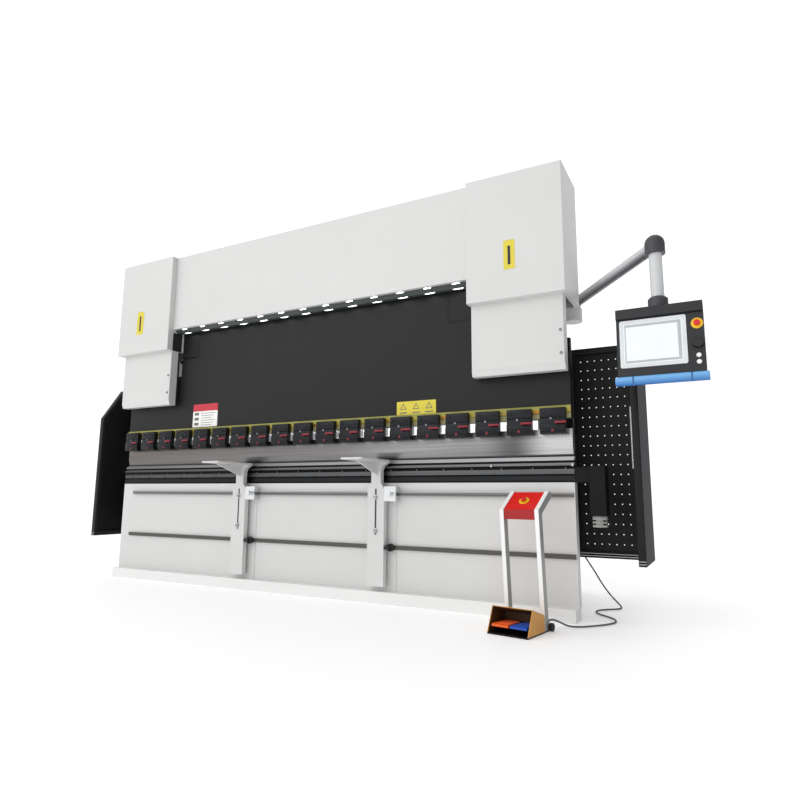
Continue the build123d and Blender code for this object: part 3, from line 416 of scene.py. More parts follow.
def mix_colours(tree, share, first, second, blend="MIX"):
    """Mixes two colours; 6, 7 and 2 are the Mix node's colour sockets."""
    links = {0: share} if not isinstance(share, float) else {}
    values = {0: share} if isinstance(share, float) else {}
    for socket, colour in ((6, first), (7, second)):
        if isinstance(colour, str):
            values[socket] = linear(colour) + [1]
        else:
            links[socket] = colour
    mix = add_node(tree, "Mix", links, values, data_type="RGBA", blend_type=blend)
    return mix.outputs[2]


def compute(tree, operation, first, second=0.0):
    """One sum on a value of the shader; the second value is a number or a socket."""
    links, values = {0: first}, {}
    (values if isinstance(second, float) else links)[1] = second
    return add_node(tree, "Math", links, values, operation=operation).outputs[0]


def stepped_steel(name, axis, steps, roughness=0.34, metallic=0.85, sharp=True, left=1.0, foot=0.0):
    """Machined steel in bands along the axis, one (place along the axis in metres, hex colour) for each band;
    many bands are painted shade.
    It is darker towards the machine's left end, down to the share left, and left dark below the height foot:
    both painted shade."""
    material, tree, shader, place = new_material(name, roughness, metallic=metallic)
    axes = add_node(tree, "SeparateXYZ", {"Vector": place})
    low, high = steps[0][0], steps[-1][0] + 0.02
    share = add_node(tree, "MapRange", {"Value": axes.outputs[axis]}, {"From Min": low, "From Max": high})
    ramp = add_node(tree, "ValToRGB", {"Fac": share.outputs[0]})
    ramp.color_ramp.interpolation = "CONSTANT" if sharp else "EASE"
    elements = ramp.color_ramp.elements
    elements.remove(elements[1])
    elements[0].position = 0
    elements[0].color = linear(steps[0][1]) + [1]
    for place_along, code in steps[1:]:
        elements.new((place_along - low) / (high - low)).color = linear(code) + [1]
    drift = mottle(tree, place, [0.86] * 3, 30, 0.16, (0.05, 1, 6))
    worn = mix_colours(tree, 1.0, ramp.outputs["Color"], drift, "MULTIPLY")
    # Painted shade: the colour darkens towards the machine's left end, down to the share left
    fade = add_node(tree, "MapRange", {"Value": axes.outputs["X"]},
                    {"From Min": -BED_HALF, "From Max": BED_HALF, "To Min": left})
    shade = mix_colours(tree, 1.0, worn, fade.outputs[0], "MULTIPLY")
    # Painted shade on the punch's tip: dark grey below the height foot
    below = compute(tree, "LESS_THAN", axes.outputs["Z"], foot)
    tree.links.new(mix_colours(tree, below, shade, "505052"), shader.inputs["Base Color"])
    grain(tree, shader, place, 500, 0.00005, ALONG)
    return material


# The slide rails: engraved lines to the metre, the share of the pitch one takes, and the heights in metres
RULES, RULE_SHARE = 100.0, 0.3
RULE_FOOT, RULE_TOP, RAIL_LIP, LOWER_RAIL_TOP = 0.7165, 0.7245, 0.7335, 0.5


def ruled_rail(name):
    """The slide rails: grey anodised aluminium with a polished lip, and a dark engraved line every 10 mm."""
    material, tree, shader, place = new_material(name, 0.4, metallic=0.6)
    tint = mottle(tree, place, "7E7F7E", 40, 0.1, (0.03, 1, 6))
    axes = add_node(tree, "SeparateXYZ", {"Vector": place})
    height = axes.outputs["Z"]
    place_in_pitch = compute(tree, "FRACT", compute(tree, "MULTIPLY", axes.outputs["X"], RULES))
    line = compute(tree, "LESS_THAN", place_in_pitch, RULE_SHARE)
    band = compute(tree, "MULTIPLY", compute(tree, "LESS_THAN", height, RULE_TOP),
                   compute(tree, "GREATER_THAN", height, RULE_FOOT))
    ruled = mix_colours(tree, compute(tree, "MULTIPLY", line, band), tint, "2C2D2E")
    polished = mix_colours(tree, compute(tree, "GREATER_THAN", height, RAIL_LIP), ruled, "A9AAA8")
    lower = compute(tree, "LESS_THAN", height, LOWER_RAIL_TOP)
    tree.links.new(mix_colours(tree, lower, polished, "565450"), shader.inputs["Base Color"])
    return material


MATERIALS = {}

# The colour of each step of the tools by its height in metres, and of the punch by the place across; the dark
# bands are painted shade in recesses, grooves and under lips, and the punch's tones are painted reflections
TABLE_STEPS = ((0.790, "1A1A1C"), (0.812, "2E2F31"), (0.840, "0A0A0B"), (0.851, "66686A"))
RAIL_STEPS = ((0.870, "6F7072"), (0.880, "101011"), (0.902, "7E7F80"))
DIE_STEPS = ((0.910, "8E8F90"), (0.919, "161617"), (0.933, "B4B5B7"))
STRIP_STEPS = ((1.180, "A39C6A"), (1.2205, "2E2A1C"), (1.2245, "B9AA42"), (1.2535, "A8A64A"))
HEAD_STEPS = ((0.600, "B2060E"), (0.643, "F01008"))
PUNCH_PAINTED_REFLECTIONS = ((-2.0, "7A7674"), (0.2, "848282"), (0.9, "9C9B9B"), (1.4, "959494"), (1.62, "6B6A69"),
               (1.88, "D0CFD0"))


def make_materials(colours):
    """Makes every finish of the machine."""
    MATERIALS.update({
        "machine_white": powder_coat("White polyester powder coat", colours.machine),
        "foot_grey": powder_coat("Light grey powder coat", "E8E8E7"),
        "ram_black": powder_coat("Dark two-pack paint", colours.ram, 0.5, 0.08, specular_ior_level=0.3),
        "strip_yellow": powder_coat("Olive yellow enamel", colours.strip, 0.4, 0.08),
        "clamp_black": blued_steel("Blackened clamp steel", "232427"),
        "lever_red": moulded_plastic("Dark red nylon", "8A1226"),
        "punch_steel": ground_steel("Ground punch steel", "A9AAAC"),
        "rail_steel": ground_steel("Bright ground steel", "D2D4D5", 0.24, 0.1),
        "table_black": blued_steel("Blackened table steel", "17181A"),
        "drive_black": powder_coat("Black enamel housing", "0C0C0E", 0.55, 0.05, specular_ior_level=0.2),
        "rod_chrome": chromed_steel("Hard chrome"),
        "rail_grey": anodised_aluminium("Anodised aluminium", "8E8F90"),
        "block_steel": ground_steel("Machined stop block steel", "DADCDD", 0.26, 0.08),
        "roller_black": moulded_rubber("Roller rubber", "1C1C1D"),
        "fence_black": powder_coat("Black powder coat", colours.fence, 0.5, 0.1, specular_ior_level=0.3),
        "handle_grey": powder_coat("Pale handle enamel", "F4F4F4", 0.35),
        "light_black": powder_coat("Greenish grey lamp housing paint", "3E4541"),
        "tube_grey": powder_coat("Silver grey tube paint", "C9CBCD", 0.32),
        "elbow_dark": powder_coat("Dark cast joint", "3A3B3F", 0.45, 0.08),
        "case_grey": powder_coat("Dark grey case paint", "1C1C20", 0.42, 0.05),
        "screen_pale": moulded_plastic("Pale screen bezel", "DCDFE1", 0.28),
        # The hand rail is darker underneath: painted shade by the surface normal
        "grip_blue": paint_with_painted_shade("Blue rail enamel", colours.grip, "2F6FB4", "Z", -0.9, 0.4, 0.22),
        "button_white": moulded_plastic("White push button", "F4F4F2", 0.25),
        "stop_red": moulded_plastic("Red stop button", colours.stop, 0.25),
        "dial_black": moulded_plastic("Black dial", "17171A", 0.4),
        "guard_amber": powder_coat("Amber guard enamel", "C68C30", 0.4, 0.14),
        "pedal_orange": moulded_plastic("Orange pedal", colours.left_pedal, 0.4),
        "pedal_blue": moulded_plastic("Blue pedal", colours.right_pedal, 0.4),
        "wheel_black": moulded_rubber("Wheel rubber", "141414"),
        "cable_grey": moulded_rubber("Cable sheath", "5A5B5C"),
        "gland_black": moulded_plastic("Black nylon gland", "1A1A1B"),
        "ring_yellow": moulded_plastic("Yellow ring", "F2C21A", 0.3),
        "notice_yellow": moulded_plastic("Yellow plate", "DCCB3A", 0.35),
        "notice_red": moulded_plastic("Red plate", "C42B3A", 0.35),
        "notice_white": moulded_plastic("White plate", "F2F2F0", 0.35),
        "notice_grey": moulded_plastic("Grey print", "6E6E62", 0.5),
        "screw_steel": ground_steel("Zinc-plated screw", "B4B6B8", 0.32, 0.1),
        "lamp_white": lamp_glow("Lamp lens"),
        "display": screen_glass("Display glass", "E4EAEE", 0.12),
        "display_grey": screen_glass("Display border", "B4BABC", 0.02),
        "ruled": ruled_rail("Ruled rail"),
        "seat_steel": ground_steel("Bright clamp seat steel", "D9DADC", 0.22, 0.06),
        "wear_bronze": ground_steel("Bronze wear plate", "B07830", 0.4, 0.2),
        "bolt_grey": ground_steel("Grey machined bolt", "8B8C8E", 0.35, 0.1),
        "plug_grey": moulded_plastic("Grey nylon plug nut", "9A9C98", 0.4),
        "grip_dark": powder_coat("Dark blue rail collar", "2F63A0", 0.35, 0.04),
        # Painted shade: dark brown for the shaded inside of the amber pedal guard
        "inside_dark": powder_coat("Painted shade inside the guard", "4E3212", 0.6, 0.1),
        # The pendant arm's tube is darker on its underside: painted shade by the surface normal
        "tube_shaded": paint_with_painted_shade("Silver grey paint, painted shade underneath", "C9CBCD", "55555A", "Z", -0.85,
                                    -0.05),
        # The legs' right-facing sides are darker: painted shade by the surface normal
        "leg_white": paint_with_painted_shade("White leg enamel", "F2F2F2", "8E908E", "X", 0.9, 0.3),
        "fence_slate": powder_coat("Slate powder coat", "15151F", 0.6, 0.06, specular_ior_level=0.15),
        # These banded finishes carry painted shade in their dark recess bands and towards the left end; the
        # punch's tones across are painted reflections
        "head_steps": stepped_steel("Red head enamel", "Z", HEAD_STEPS, 0.33, 0.0),
        "table_steps": stepped_steel("Blackened table steel", "Z", TABLE_STEPS, left=0.7),
        "rail_steps": stepped_steel("Die rail steel", "Z", RAIL_STEPS, left=0.4),
        "die_steps": stepped_steel("Ground die steel", "Z", DIE_STEPS, left=0.4),
        "strip_steps": stepped_steel("Olive yellow strip enamel", "Z", STRIP_STEPS, 0.45, 0.0),
        "punch_painted_reflections": stepped_steel("Ground punch steel with painted reflections", "X", PUNCH_PAINTED_REFLECTIONS, 0.3, 1.0, False,
                                        foot=PUNCH_LOW.z + 8 * MM),
    })


# Nodes that wear a finish of their own
NODE_FINISH = {"support_rails": "ruled", "crowning_table": "table_steps", "die_rail": "rail_steps",
               "lower_die": "die_steps", "tool_strip": "strip_steps", "upper_punch": "punch_painted_reflections",
               "arm_base": "machine_white", "pendant_arm": "tube_shaded", "stand_legs": "leg_white",
               "stand_head": "head_steps"}


class PRESSBRAKE_OT_finishes(bpy.types.Operator):
    """Give every piece of the machine its finish"""
    bl_idname = "press_brake.finishes"
    bl_label = "Finishes"

    def execute(self, context):
        make_materials(context.scene.press_brake_colours)
        for part in frame["record"]["subparts"]:
            node = frame["nodes"][part["node"]]
            material = MATERIALS[NODE_FINISH.get(part["node"], part["material_slot"])]
            for slot in node.material_slots:
                slot.material = material
            if not node.material_slots:
                node.data.materials.append(material)
        return {"FINISHED"}


# Clamps: one jaw's step and groove as shares of its height, its reliefs and lip, and the seat behind it
JAW_STEP, JAW_GROOVE = 0.42, 0.60
JAW_RELIEF, GROOVE, JAW_LIP = 6 * MM, 5 * MM, 16 * MM
SEAT_HALF, SEAT_FOOT, SEAT_WAIST = 55 * MM, 12 * MM, 3 * MM
LEVER_LENGTH = 66 * MM
# Where the strip's bronze plates sit: the clamps on their right, and their foot, top and half width
WEAR_CLAMPS, WEAR_FOOT, WEAR_TOP, WEAR_HALF = (2, 6, 10, 13, 15, 18), 1.2255, 1.241, 21 * MM
# The punch's nose under its tip, a narrower tip painted black as painted shade in the gap over the die, and
# the plates over the ram's upper corners
NOSE_DROP, NOSE_HALF = 11 * MM, 1.5 * MM
SHOULDER_XS, SHOULDER_WIDTH, SHOULDER_FOOT, SHOULDER_TOP = (-1.370, 1.175), 0.195, 1.885, 2.150


def clamp_centres(sizes):
    """The middle of each clamp along the ram."""
    first = CLAMP_LOW.x + sizes.clamp_width / 2
    span = CLAMP_HIGH.x - CLAMP_LOW.x - sizes.clamp_width
    return [first + span * i / (sizes.clamp_count - 1) for i in range(sizes.clamp_count)]


def clamp_jaw(width):
    """One clamp's jaw, drawn about x = 0: stepped over the punch, with a groove across it and a lip."""
    half = width / 2
    front, low, high = CLAMP_LOW.y, CLAMP_LOW.z, CLAMP_HIGH.z
    jaw = add_block("jaw", (-half, front + JAW_RELIEF, low), (half, STRIP_LOW.y, high))
    step = low + JAW_STEP * (high - low)
    groove = low + JAW_GROOVE * (high - low)
    for z in (step, groove, groove + GROOVE, low + JAW_LIP, PUNCH_HIGH.z):
        cut(jaw, (0, 0, z), (0, 0, 1))
    pick_faces(jaw, lambda c, n: n.y < -0.9 and low + JAW_LIP < c.z < step)
    push(JAW_RELIEF)
    pick_faces(jaw, lambda c, n: n.y < -0.9 and groove < c.z < groove + GROOVE)
    push(-GROOVE)
    pick_faces(jaw, lambda c, n: n.y > 0.9 and c.z < PUNCH_HIGH.z)
    push(PUNCH_LOW.y - STRIP_LOW.y)
    return bevel_edges(jaw, 2.5 * MM, 2)


def clamp_seat():
    """The narrower bright block behind one jaw, which the punch hangs from."""
    foot = PUNCH_HIGH.z + SEAT_FOOT
    seat = add_block("seat", (-SEAT_HALF, STRIP_LOW.y - 0.5 * MM, PUNCH_HIGH.z),
                     (SEAT_HALF, CLAMP_HIGH.y, RAM_LOW.z))
    cut(seat, (0, 0, foot), (0, 0, 1))
    pick_faces(seat, lambda c, n: abs(n.x) > 0.9 and c.z > foot)
    push(-SEAT_WAIST)
    return bevel_edges(seat, 1.5 * MM, 2)


def socket_screw(name, centre, axis, radius, height):
    """A cylinder-head screw with a hexagon socket, standing on a face."""
    axis = Vector(axis).normalized()
    screw = add_rod(name, Vector(centre) + axis * height / 2, axis, radius, height, 24)
    pick_faces(screw, lambda c, n: n.dot(axis) > 0.9)
    bpy.ops.mesh.inset(thickness=radius * 0.45)
    push(-height * 0.6)
    return bevel_edges(screw, radius * 0.12, 2, 50)


def clamp_lever(right):
    """The lever of one clamp: a ridged bar from its boss to its right end."""
    low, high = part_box("clamp_levers")
    front, z, left = CLAMP_LOW.y, (low.z + high.z) / 2, right - LEVER_LENGTH
    bar = add_block("bar", (left, front - 17 * MM, z - 6 * MM), (right, front - 10 * MM, z + 6 * MM))
    pick_faces(bar, lambda c, n: n.y < -0.9)
    bpy.ops.mesh.inset(thickness=2.5 * MM)
    push(3 * MM)
    pick_faces(bar, lambda c, n: n.x > 0.9)
    bpy.ops.transform.resize(value=(1, 0.8, 1.2))
    bevel_edges(bar, 1.5 * MM, 2)
    boss = add_rod("boss", (left + 4 * MM, front - 6 * MM, z), (0, -1, 0), 9 * MM, 16 * MM, 24)
    bevel_edges(boss, 2 * MM, 2, 50)
    return join("lever", [bar, boss])


class PRESSBRAKE_OT_clamps(bpy.types.Operator):
    """Model the row of quick clamps with their levers and screws, the punch's nose and the ram's plates"""
    bl_idname = "press_brake.clamps"
    bl_label = "Quick clamps"

    def execute(self, context):
        sizes = context.scene.press_brake_sizes
        width, front, low = sizes.clamp_width, CLAMP_LOW.y, CLAMP_LOW.z
        face = front + 7 * MM
        centres = clamp_centres(sizes)
        jaw = join("jaw", [clamp_jaw(width)] + [
            socket_screw("screw", (x, face, CLAMP_HIGH.z - 26 * MM), (0, -1, 0), 6.5 * MM, 4 * MM)
            for x in (-width * 0.32, width * 0.32)])
        lever = clamp_lever(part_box("clamp_levers")[1].x - centres[-1])
        bolt = socket_screw("bolt", (-width * 0.06, face, low + 94 * MM), (0, -1, 0), 7 * MM, 6 * MM)
        mark = add_block("mark", (-9 * MM, front - 1.5 * MM, low + 13 * MM),
                         (9 * MM, front + 2 * MM, low + 31 * MM))
        pick_faces(mark, lambda c, n: n.z > 0.9)
        bpy.ops.transform.resize(value=(0.2, 1, 1))
        bevel_edges(mark, 0.8 * MM, 2)
        for name, piece, slot, finish in (("clamp_jaws", jaw, "clamp_black", "clamp_black"),
                                          ("clamp_seats", clamp_seat(), "rail_steel", "seat_steel"),
                                          ("clamp_handles", lever, "lever_red", "lever_red"),
                                          ("clamp_bolts", bolt, "punch_steel", "bolt_grey"),
                                          ("clamp_marks", mark, "lever_red", "lever_red")):
            copies = [copy_by(piece, (x, 0, 0)) for x in centres]
            bpy.data.objects.remove(piece)
            fit(join(name, copies), finish, "ram")
        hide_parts("punch_clamps")
        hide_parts("clamp_levers")
        # The nose is painted black: painted shade in the gap between punch and die
        nose = add_block("punch_nose", (PUNCH_LOW.x + 5 * MM, -NOSE_HALF, PUNCH_LOW.z - NOSE_DROP),
                         (PUNCH_HIGH.x - 5 * MM, NOSE_HALF, PUNCH_LOW.z + 2 * MM))
        fit(bevel_edges(nose, 0.8 * MM, 2), "clamp_black", "ram")
        shoulders = [add_block("shoulder", (x, RAM_LOW.y, SHOULDER_FOOT),
                               (x + SHOULDER_WIDTH, RAM_LOW.y + 3 * MM, SHOULDER_TOP)) for x in SHOULDER_XS]
        shoulders = join("ram_shoulders", [bevel_edges(block, 0.5 * MM, 1) for block in shoulders])
        fit(shoulders, "ram_black", "ram")
        middles = [(centres[i - 1] + centres[i]) / 2 for i in WEAR_CLAMPS]
        plates = [plate("plate", (x - WEAR_HALF, STRIP_LOW.y - 2 * MM, WEAR_FOOT),
                        (x + WEAR_HALF, STRIP_LOW.y, WEAR_TOP)) for x in middles]
        fit(join("strip_wear_plates", plates), "wear_bronze", "ram")
        return {"FINISHED"}


# Fences

def perforated_sheet(name, corner, across, up, sizes):
    """A sheet from a corner, spanned by two vectors, with a grid of round holes inside a plain border."""
    deselect()
    pitch_x, pitch_z = sizes.hole_pitch_x, sizes.hole_pitch_z
    columns = int(across.length / pitch_x - 0.4)
    rows = int(up.length / pitch_z - 0.4)
    bpy.ops.mesh.primitive_grid_add(x_subdivisions=columns, y_subdivisions=rows, size=1)
    sheet = bpy.context.object
    sheet.name = name
    sheet.scale = (columns, rows, 1)
    apply_place(sheet)
    bpy.ops.object.mode_set(mode="EDIT")
    bpy.ops.mesh.select_mode(type="FACE")
    bpy.ops.mesh.select_all(action="SELECT")
    bpy.ops.mesh.inset(thickness=0.3, use_individual=True, use_relative_offset=False)
    bpy.ops.mesh.select_mode(type="VERT", use_extend=False)
    mesh = bmesh.from_edit_mesh(sheet.data)
    border_x = (across.length / pitch_x - columns) / 2
    border_z = (up.length / pitch_z - rows) / 2
    for face in [face for face in mesh.faces if face.select]:
        middle = face.calc_center_median()
        for vert in face.verts:
            out = vert.co - middle
            vert.co.x = middle.x + math.copysign(sizes.hole / 2 / pitch_x, out.x)
            vert.co.y = middle.y + math.copysign(sizes.hole / 2 / pitch_z, out.y)
    for vert in mesh.verts:
        if abs(vert.co.x) > columns / 2 - 0.01:
            vert.co.x += math.copysign(border_x, vert.co.x)
        if abs(vert.co.y) > rows / 2 - 0.01:
            vert.co.y += math.copysign(border_z, vert.co.y)
    bmesh.update_edit_mesh(sheet.data)
    bpy.ops.object.mode_set(mode="OBJECT")
    axes = (across.normalized() * pitch_x, up.normalized() * pitch_z, across.cross(up).normalized())
    middle = corner + across / 2 + up / 2
    sheet.data.transform(Matrix.Translation(middle) @ Matrix(axes).transposed().to_4x4())
    bpy.ops.object.mode_set(mode="EDIT")
    bpy.ops.mesh.bevel(offset=sizes.hole * 0.2929, affect="VERTICES", segments=1, clamp_overlap=False)
    mesh = bmesh.from_edit_mesh(sheet.data)
    bpy.ops.mesh.select_mode(type="FACE")
    for face in mesh.faces:
        face.select_set(len(face.verts) == 8 and face.calc_area() < sizes.hole ** 2)
    bmesh.update_edit_mesh(sheet.data)
    bpy.ops.mesh.delete(type="FACE")
    bpy.ops.object.mode_set(mode="OBJECT")
    return sheet


def tube_frame(name, outline, tube, depth):
    """A welded frame of square tube: an outline is inset by the tube's width and drawn out to its depth."""
    piece = add_outline(name, outline)
    bpy.ops.mesh.inset(thickness=tube, use_even_offset=True)
    mesh = bmesh.from_edit_mesh(piece.data)
    for face in mesh.faces:
        face.select_set(len(face.verts) == len(outline) and all(len(e.link_faces) == 2 for e in face.edges))
    bmesh.update_edit_mesh(piece.data)
    bpy.ops.mesh.delete(type="FACE")
    bpy.ops.mesh.select_all(action="SELECT")
    bpy.ops.mesh.extrude_region_move(TRANSFORM_OT_translate={"value": depth})
    return bevel_edges(piece, 2.5 * MM, 2)


def hinge_notch(tubes, x, y, z):
    """Cuts the room that the fixed half of a hinge needs out of a frame's corner."""
    cutter = add_rod("cutter", (x, y, z), (0, 0, 1), 13 * MM, 31 * MM, 48)
    apply_modifier(tubes, "BOOLEAN", object=cutter, solver="EXACT")
    bpy.data.objects.remove(cutter)


HINGE_X, HINGE_HEIGHTS = 1.932, (0.4803, 1.5403)
FENCE_PLATE = 2 * MM
FENCE_RISE, FENCE_RUN = 0.290, 0.190


def fence_door(sizes):
    """The right fence: two welded frames in an L, each with its punched sheet, and its hinge halves."""
    tube = sizes.fence_tube
    low, high = DOOR_LOW, DOOR_HIGH
    left, right = HINGE_X - 6 * MM, high.x - FENCE_PLATE
    front, rear = low.y, high.y - 10 * MM
    shoulder, run = high.z - FENCE_RISE, FENCE_RUN
    frames = [tube_frame("front_frame", [(left, rear, low.z), (right, rear, low.z), (right, rear, high.z),
                                         (left, rear, high.z)], tube, (0, -tube, 0)),
              tube_frame("side_frame", [(right, front, low.z), (right, rear - tube, low.z),
                                        (right, rear - tube, high.z), (right, front + run, high.z),
                                        (right, front, shoulder)], tube, (-tube, 0, 0))]
    narrow = 25 * MM
    for vert in frames[0].data.vertices:
        if abs(vert.co.x - left - tube) < 3 * MM:
            vert.co.x -= narrow
    for z in HINGE_HEIGHTS:
        hinge_notch(frames[0], HINGE_X, rear, z - 15 * MM)
    door_sheet = perforated_sheet("door_sheet", Vector((left + tube - narrow, rear - tube / 2, low.z + tube)),
                                  Vector((right - left - 2 * tube + narrow, 0, 0)),
                                  Vector((0, 0, high.z - low.z - 2 * tube)), sizes)
    side_sheet = perforated_sheet("side_sheet", Vector((right - tube / 2, front + tube, low.z + tube)),
                                  Vector((0, rear - 2 * tube - front, 0)),
                                  Vector((0, 0, high.z - low.z - 2 * tube)), sizes)
    slope = Vector((0, run, high.z - shoulder)).normalized()
    normal = Vector((0, -slope.z, slope.y))
    deselect()
    bpy.context.view_layer.objects.active = side_sheet
    bpy.ops.object.mode_set(mode="EDIT")
    bpy.ops.mesh.select_all(action="SELECT")
    edge = Vector((right, front, shoulder)) - normal * tube
    bpy.ops.mesh.bisect(plane_co=edge, plane_no=normal, clear_outer=True)
    bpy.ops.object.mode_set(mode="OBJECT")
    for sheet in (door_sheet, side_sheet):
        thicken(sheet, 2 * MM)
    barrels = [add_rod("barrel", (HINGE_X, rear, z + 15 * MM), (0, 0, 1), 10 * MM, 30 * MM, 24)
               for z in HINGE_HEIGHTS]
    barrels = [bevel_edges(barrel, 1 * MM, 2, 50) for barrel in barrels]
    return join("fence", frames + [door_sheet, side_sheet] + barrels)


def side_plate():
    """The plain sheet over the outer side of the right fence."""
    low, high = DOOR_LOW, DOOR_HIGH
    inner, rear = high.x - FENCE_PLATE, high.y - 10 * MM
    outline = [(inner, low.y, low.z), (inner, rear, low.z), (inner, rear, high.z),
               (inner, low.y + FENCE_RUN, high.z), (inner, low.y, high.z - FENCE_RISE)]
    piece = add_outline("side_plate", outline)
    bpy.ops.mesh.extrude_region_move(TRANSFORM_OT_translate={"value": (FENCE_PLATE, 0, 0)})
    return bevel_edges(piece, 0.5 * MM, 1)


def pull_grip():
    """The flat pale grip in front of the right fence's pull handle."""
    low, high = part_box("right_fence_handle")
    middle = (low.x + high.x) / 2
    grip = add_block("grip", (middle - 10 * MM, low.y - 3 * MM, low.z),
                     (middle + 10 * MM, low.y + 2 * MM, high.z))
    return bevel_edges(grip, 1.5 * MM, 3)


def fence_trim():
    """The two pale lines along the foot of the right fence's front frame and side frame."""
    low, high = DOOR_LOW, DOOR_HIGH
    front = high.y - 50 * MM
    strips = []
    for z in (low.z + 12 * MM, low.z + 27 * MM):
        top = z + 2.5 * MM
        strips.append(add_block("line", (HINGE_X + 6 * MM, front - 0.7 * MM, z),
                                (high.x - 2 * MM, front + 0.2 * MM, top)))
        strips.append(add_block("line", (high.x - 39 * MM, low.y - 0.1 * MM, z),
                                (high.x - 1 * MM, low.y + 0.6 * MM, top)))
    return join("line", [bevel_edges(strip, 0.3 * MM, 1) for strip in strips])


class PRESSBRAKE_OT_fences(bpy.types.Operator):
    """Model the two perforated side fences"""
    bl_idname = "press_brake.fences"
    bl_label = "Side fences"

    def execute(self, context):
        sizes = context.scene.press_brake_sizes
        for side in ("right", "left"):
            door, trim, sheet, grip = fence_door(sizes), fence_trim(), side_plate(), pull_grip()
            # The right side plate takes the slate coat; the left one is seen from inside, in shade, and takes
            # the black coat as painted shade
            slate_and_painted_shade = "fence_slate" if side == "right" else "fence_black"
            for piece, name, finish, slot in ((grip, "_fence_grip", "handle_grey", "handle_grey"),
                                              (sheet, "_fence_side_plate", slate_and_painted_shade, "fence_black"),
                                              (door, "_fence_mesh", "fence_black", "fence_black"),
                                              (trim, "_fence_lines", "handle_grey", "handle_grey")):
                if side == "left":
                    mirror_x(piece)
                piece.name = side + name
                fit(piece, finish, side + "_fence")
            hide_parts(side + "_fence_door")
        return {"FINISHED"}


# Work light

def lamp_lens(centre, half):
    """One long opal lens with domed ends."""
    deselect()
    bpy.ops.mesh.primitive_uv_sphere_add(segments=20, ring_count=10, radius=1, location=centre,
                                         rotation=(0, math.pi / 2, 0))
    lens = bpy.context.object
    lens.scale = (half[2], half[1], half[0])
    apply_place(lens)
    return lens


class PRESSBRAKE_OT_lamps(bpy.types.Operator):
    """Set the two rows of lamps in the light bar"""
    bl_idname = "press_brake.lamps"
    bl_label = "Lamps"

    def execute(self, context):
        count = context.scene.press_brake_sizes.lamp_count
        pitch = (LIGHT_HIGH.x - LIGHT_LOW.x) / count
        lamps = []
        lower, upper = (42 * MM, 10 * MM, 5 * MM), (40 * MM, 3.2 * MM, 3 * MM)
        for i in range(count):
            x = LIGHT_LOW.x + (i + 0.5) * pitch
            lamps.append(lamp_lens((x, LIGHT_HIGH.y - 19 * MM, LIGHT_LOW.z + 5.5 * MM), lower))
            lamps.append(lamp_lens((x, LIGHT_LOW.y + 2 * MM, LIGHT_HIGH.z - 4.5 * MM), upper))
        fit(join("lamp_lenses", lamps), "lamp_white", "machine")
        return {"FINISHED"}


# Covers

def plate(name, low, high, radius=3 * MM):
    """A thin plate with rounded corners, facing the front."""
    return round_corners(add_block(name, low, high), 1, radius, 4)


# The signs on the covers and the screws of their skirts, in metres across and up
COVER_SIGNS = (("left", -1.790, -1.706, 2.119, 2.328), ("right", 1.640, 1.714, 2.135, 2.329))
SKIRT_SCREWS = ((1.970, 1.718), (1.970, 1.575), (-1.414, 1.73), (-1.414, 1.58))


class PRESSBRAKE_OT_cover_fittings(bpy.types.Operator):
    """Add the plates and screws of the covers"""
    bl_idname = "press_brake.cover_fittings"
    bl_label = "Cover fittings"

    def execute(self, context):
        front = COVER_LOW.y
        for side, x0, x1, z0, z1 in COVER_SIGNS:
            sign = plate(side + "_cover_plate", (x0, front - 1.5 * MM, z0), (x1, front, z1), 6 * MM)
            fit(sign, "notice_yellow", "machine")
            middle = (x0 + x1) / 2
            bolt = plate(side + "_plate_arrow", (middle - 9 * MM, front - 2.2 * MM, z0 + 30 * MM),
                         (middle + 9 * MM, front - 1.4 * MM, z1 - 40 * MM), 2 * MM)
            cut(bolt, (0, 0, z1 - 90 * MM), (0, 0, 1))
            pick_faces(bolt, lambda c, n: n.z > 0.9)
            bpy.ops.transform.resize(value=(2.2, 1, 1))
            bpy.ops.object.mode_set(mode="OBJECT")
            fit(bolt, "dial_black", "machine")
        screws = [socket_screw("screw", (x, SKIRT_LOW.y, z), (0, -1, 0), 9 * MM, 6 * MM)
                  for x, z in SKIRT_SCREWS]
        fit(join("cover_screws", screws), "bolt_grey", "machine")
        return {"FINISHED"}


# Notices on the ram

# Each notice's left, foot, right and top in metres, then the marks and the lines printed on them
NOTICE_YELLOW, MARK_XS = (0.787, 1.270, 1.089, 1.364), (0.838, 0.938, 1.038)
NOTICE_WHITE, NOTICE_RED = (-1.199, 1.276, -0.918, 1.410), (-1.199, 1.4105, -0.918, 1.471)
LINE_ZS, BLOCK_ZS = (1.392, 1.372, 1.352, 1.332, 1.312, 1.292), (1.388, 1.345, 1.302)


def notice(name, edges):
    """A plain coloured plate on the ram."""
    left, foot, right, top = edges
    piece = plate(name, (left, RAM_LOW.y - 1.2 * MM, foot), (right, RAM_LOW.y, top), 4 * MM)
    return fit(piece, name, "ram")


def triangle_mark(centre, size, depth):
    """A triangle of three sides on a notice, point up."""
    deselect()
    bpy.ops.mesh.primitive_cylinder_add(vertices=3, radius=size, depth=depth, location=centre,
                                        rotation=(math.pi / 2, 0, 0))
    mark = apply_place(bpy.context.object)
    pick_faces(mark, lambda c, n: n.y < -0.9)
    bpy.ops.mesh.inset(thickness=size * 0.16)
    push(-depth * 0.7)
    bpy.ops.object.mode_set(mode="OBJECT")
    return mark


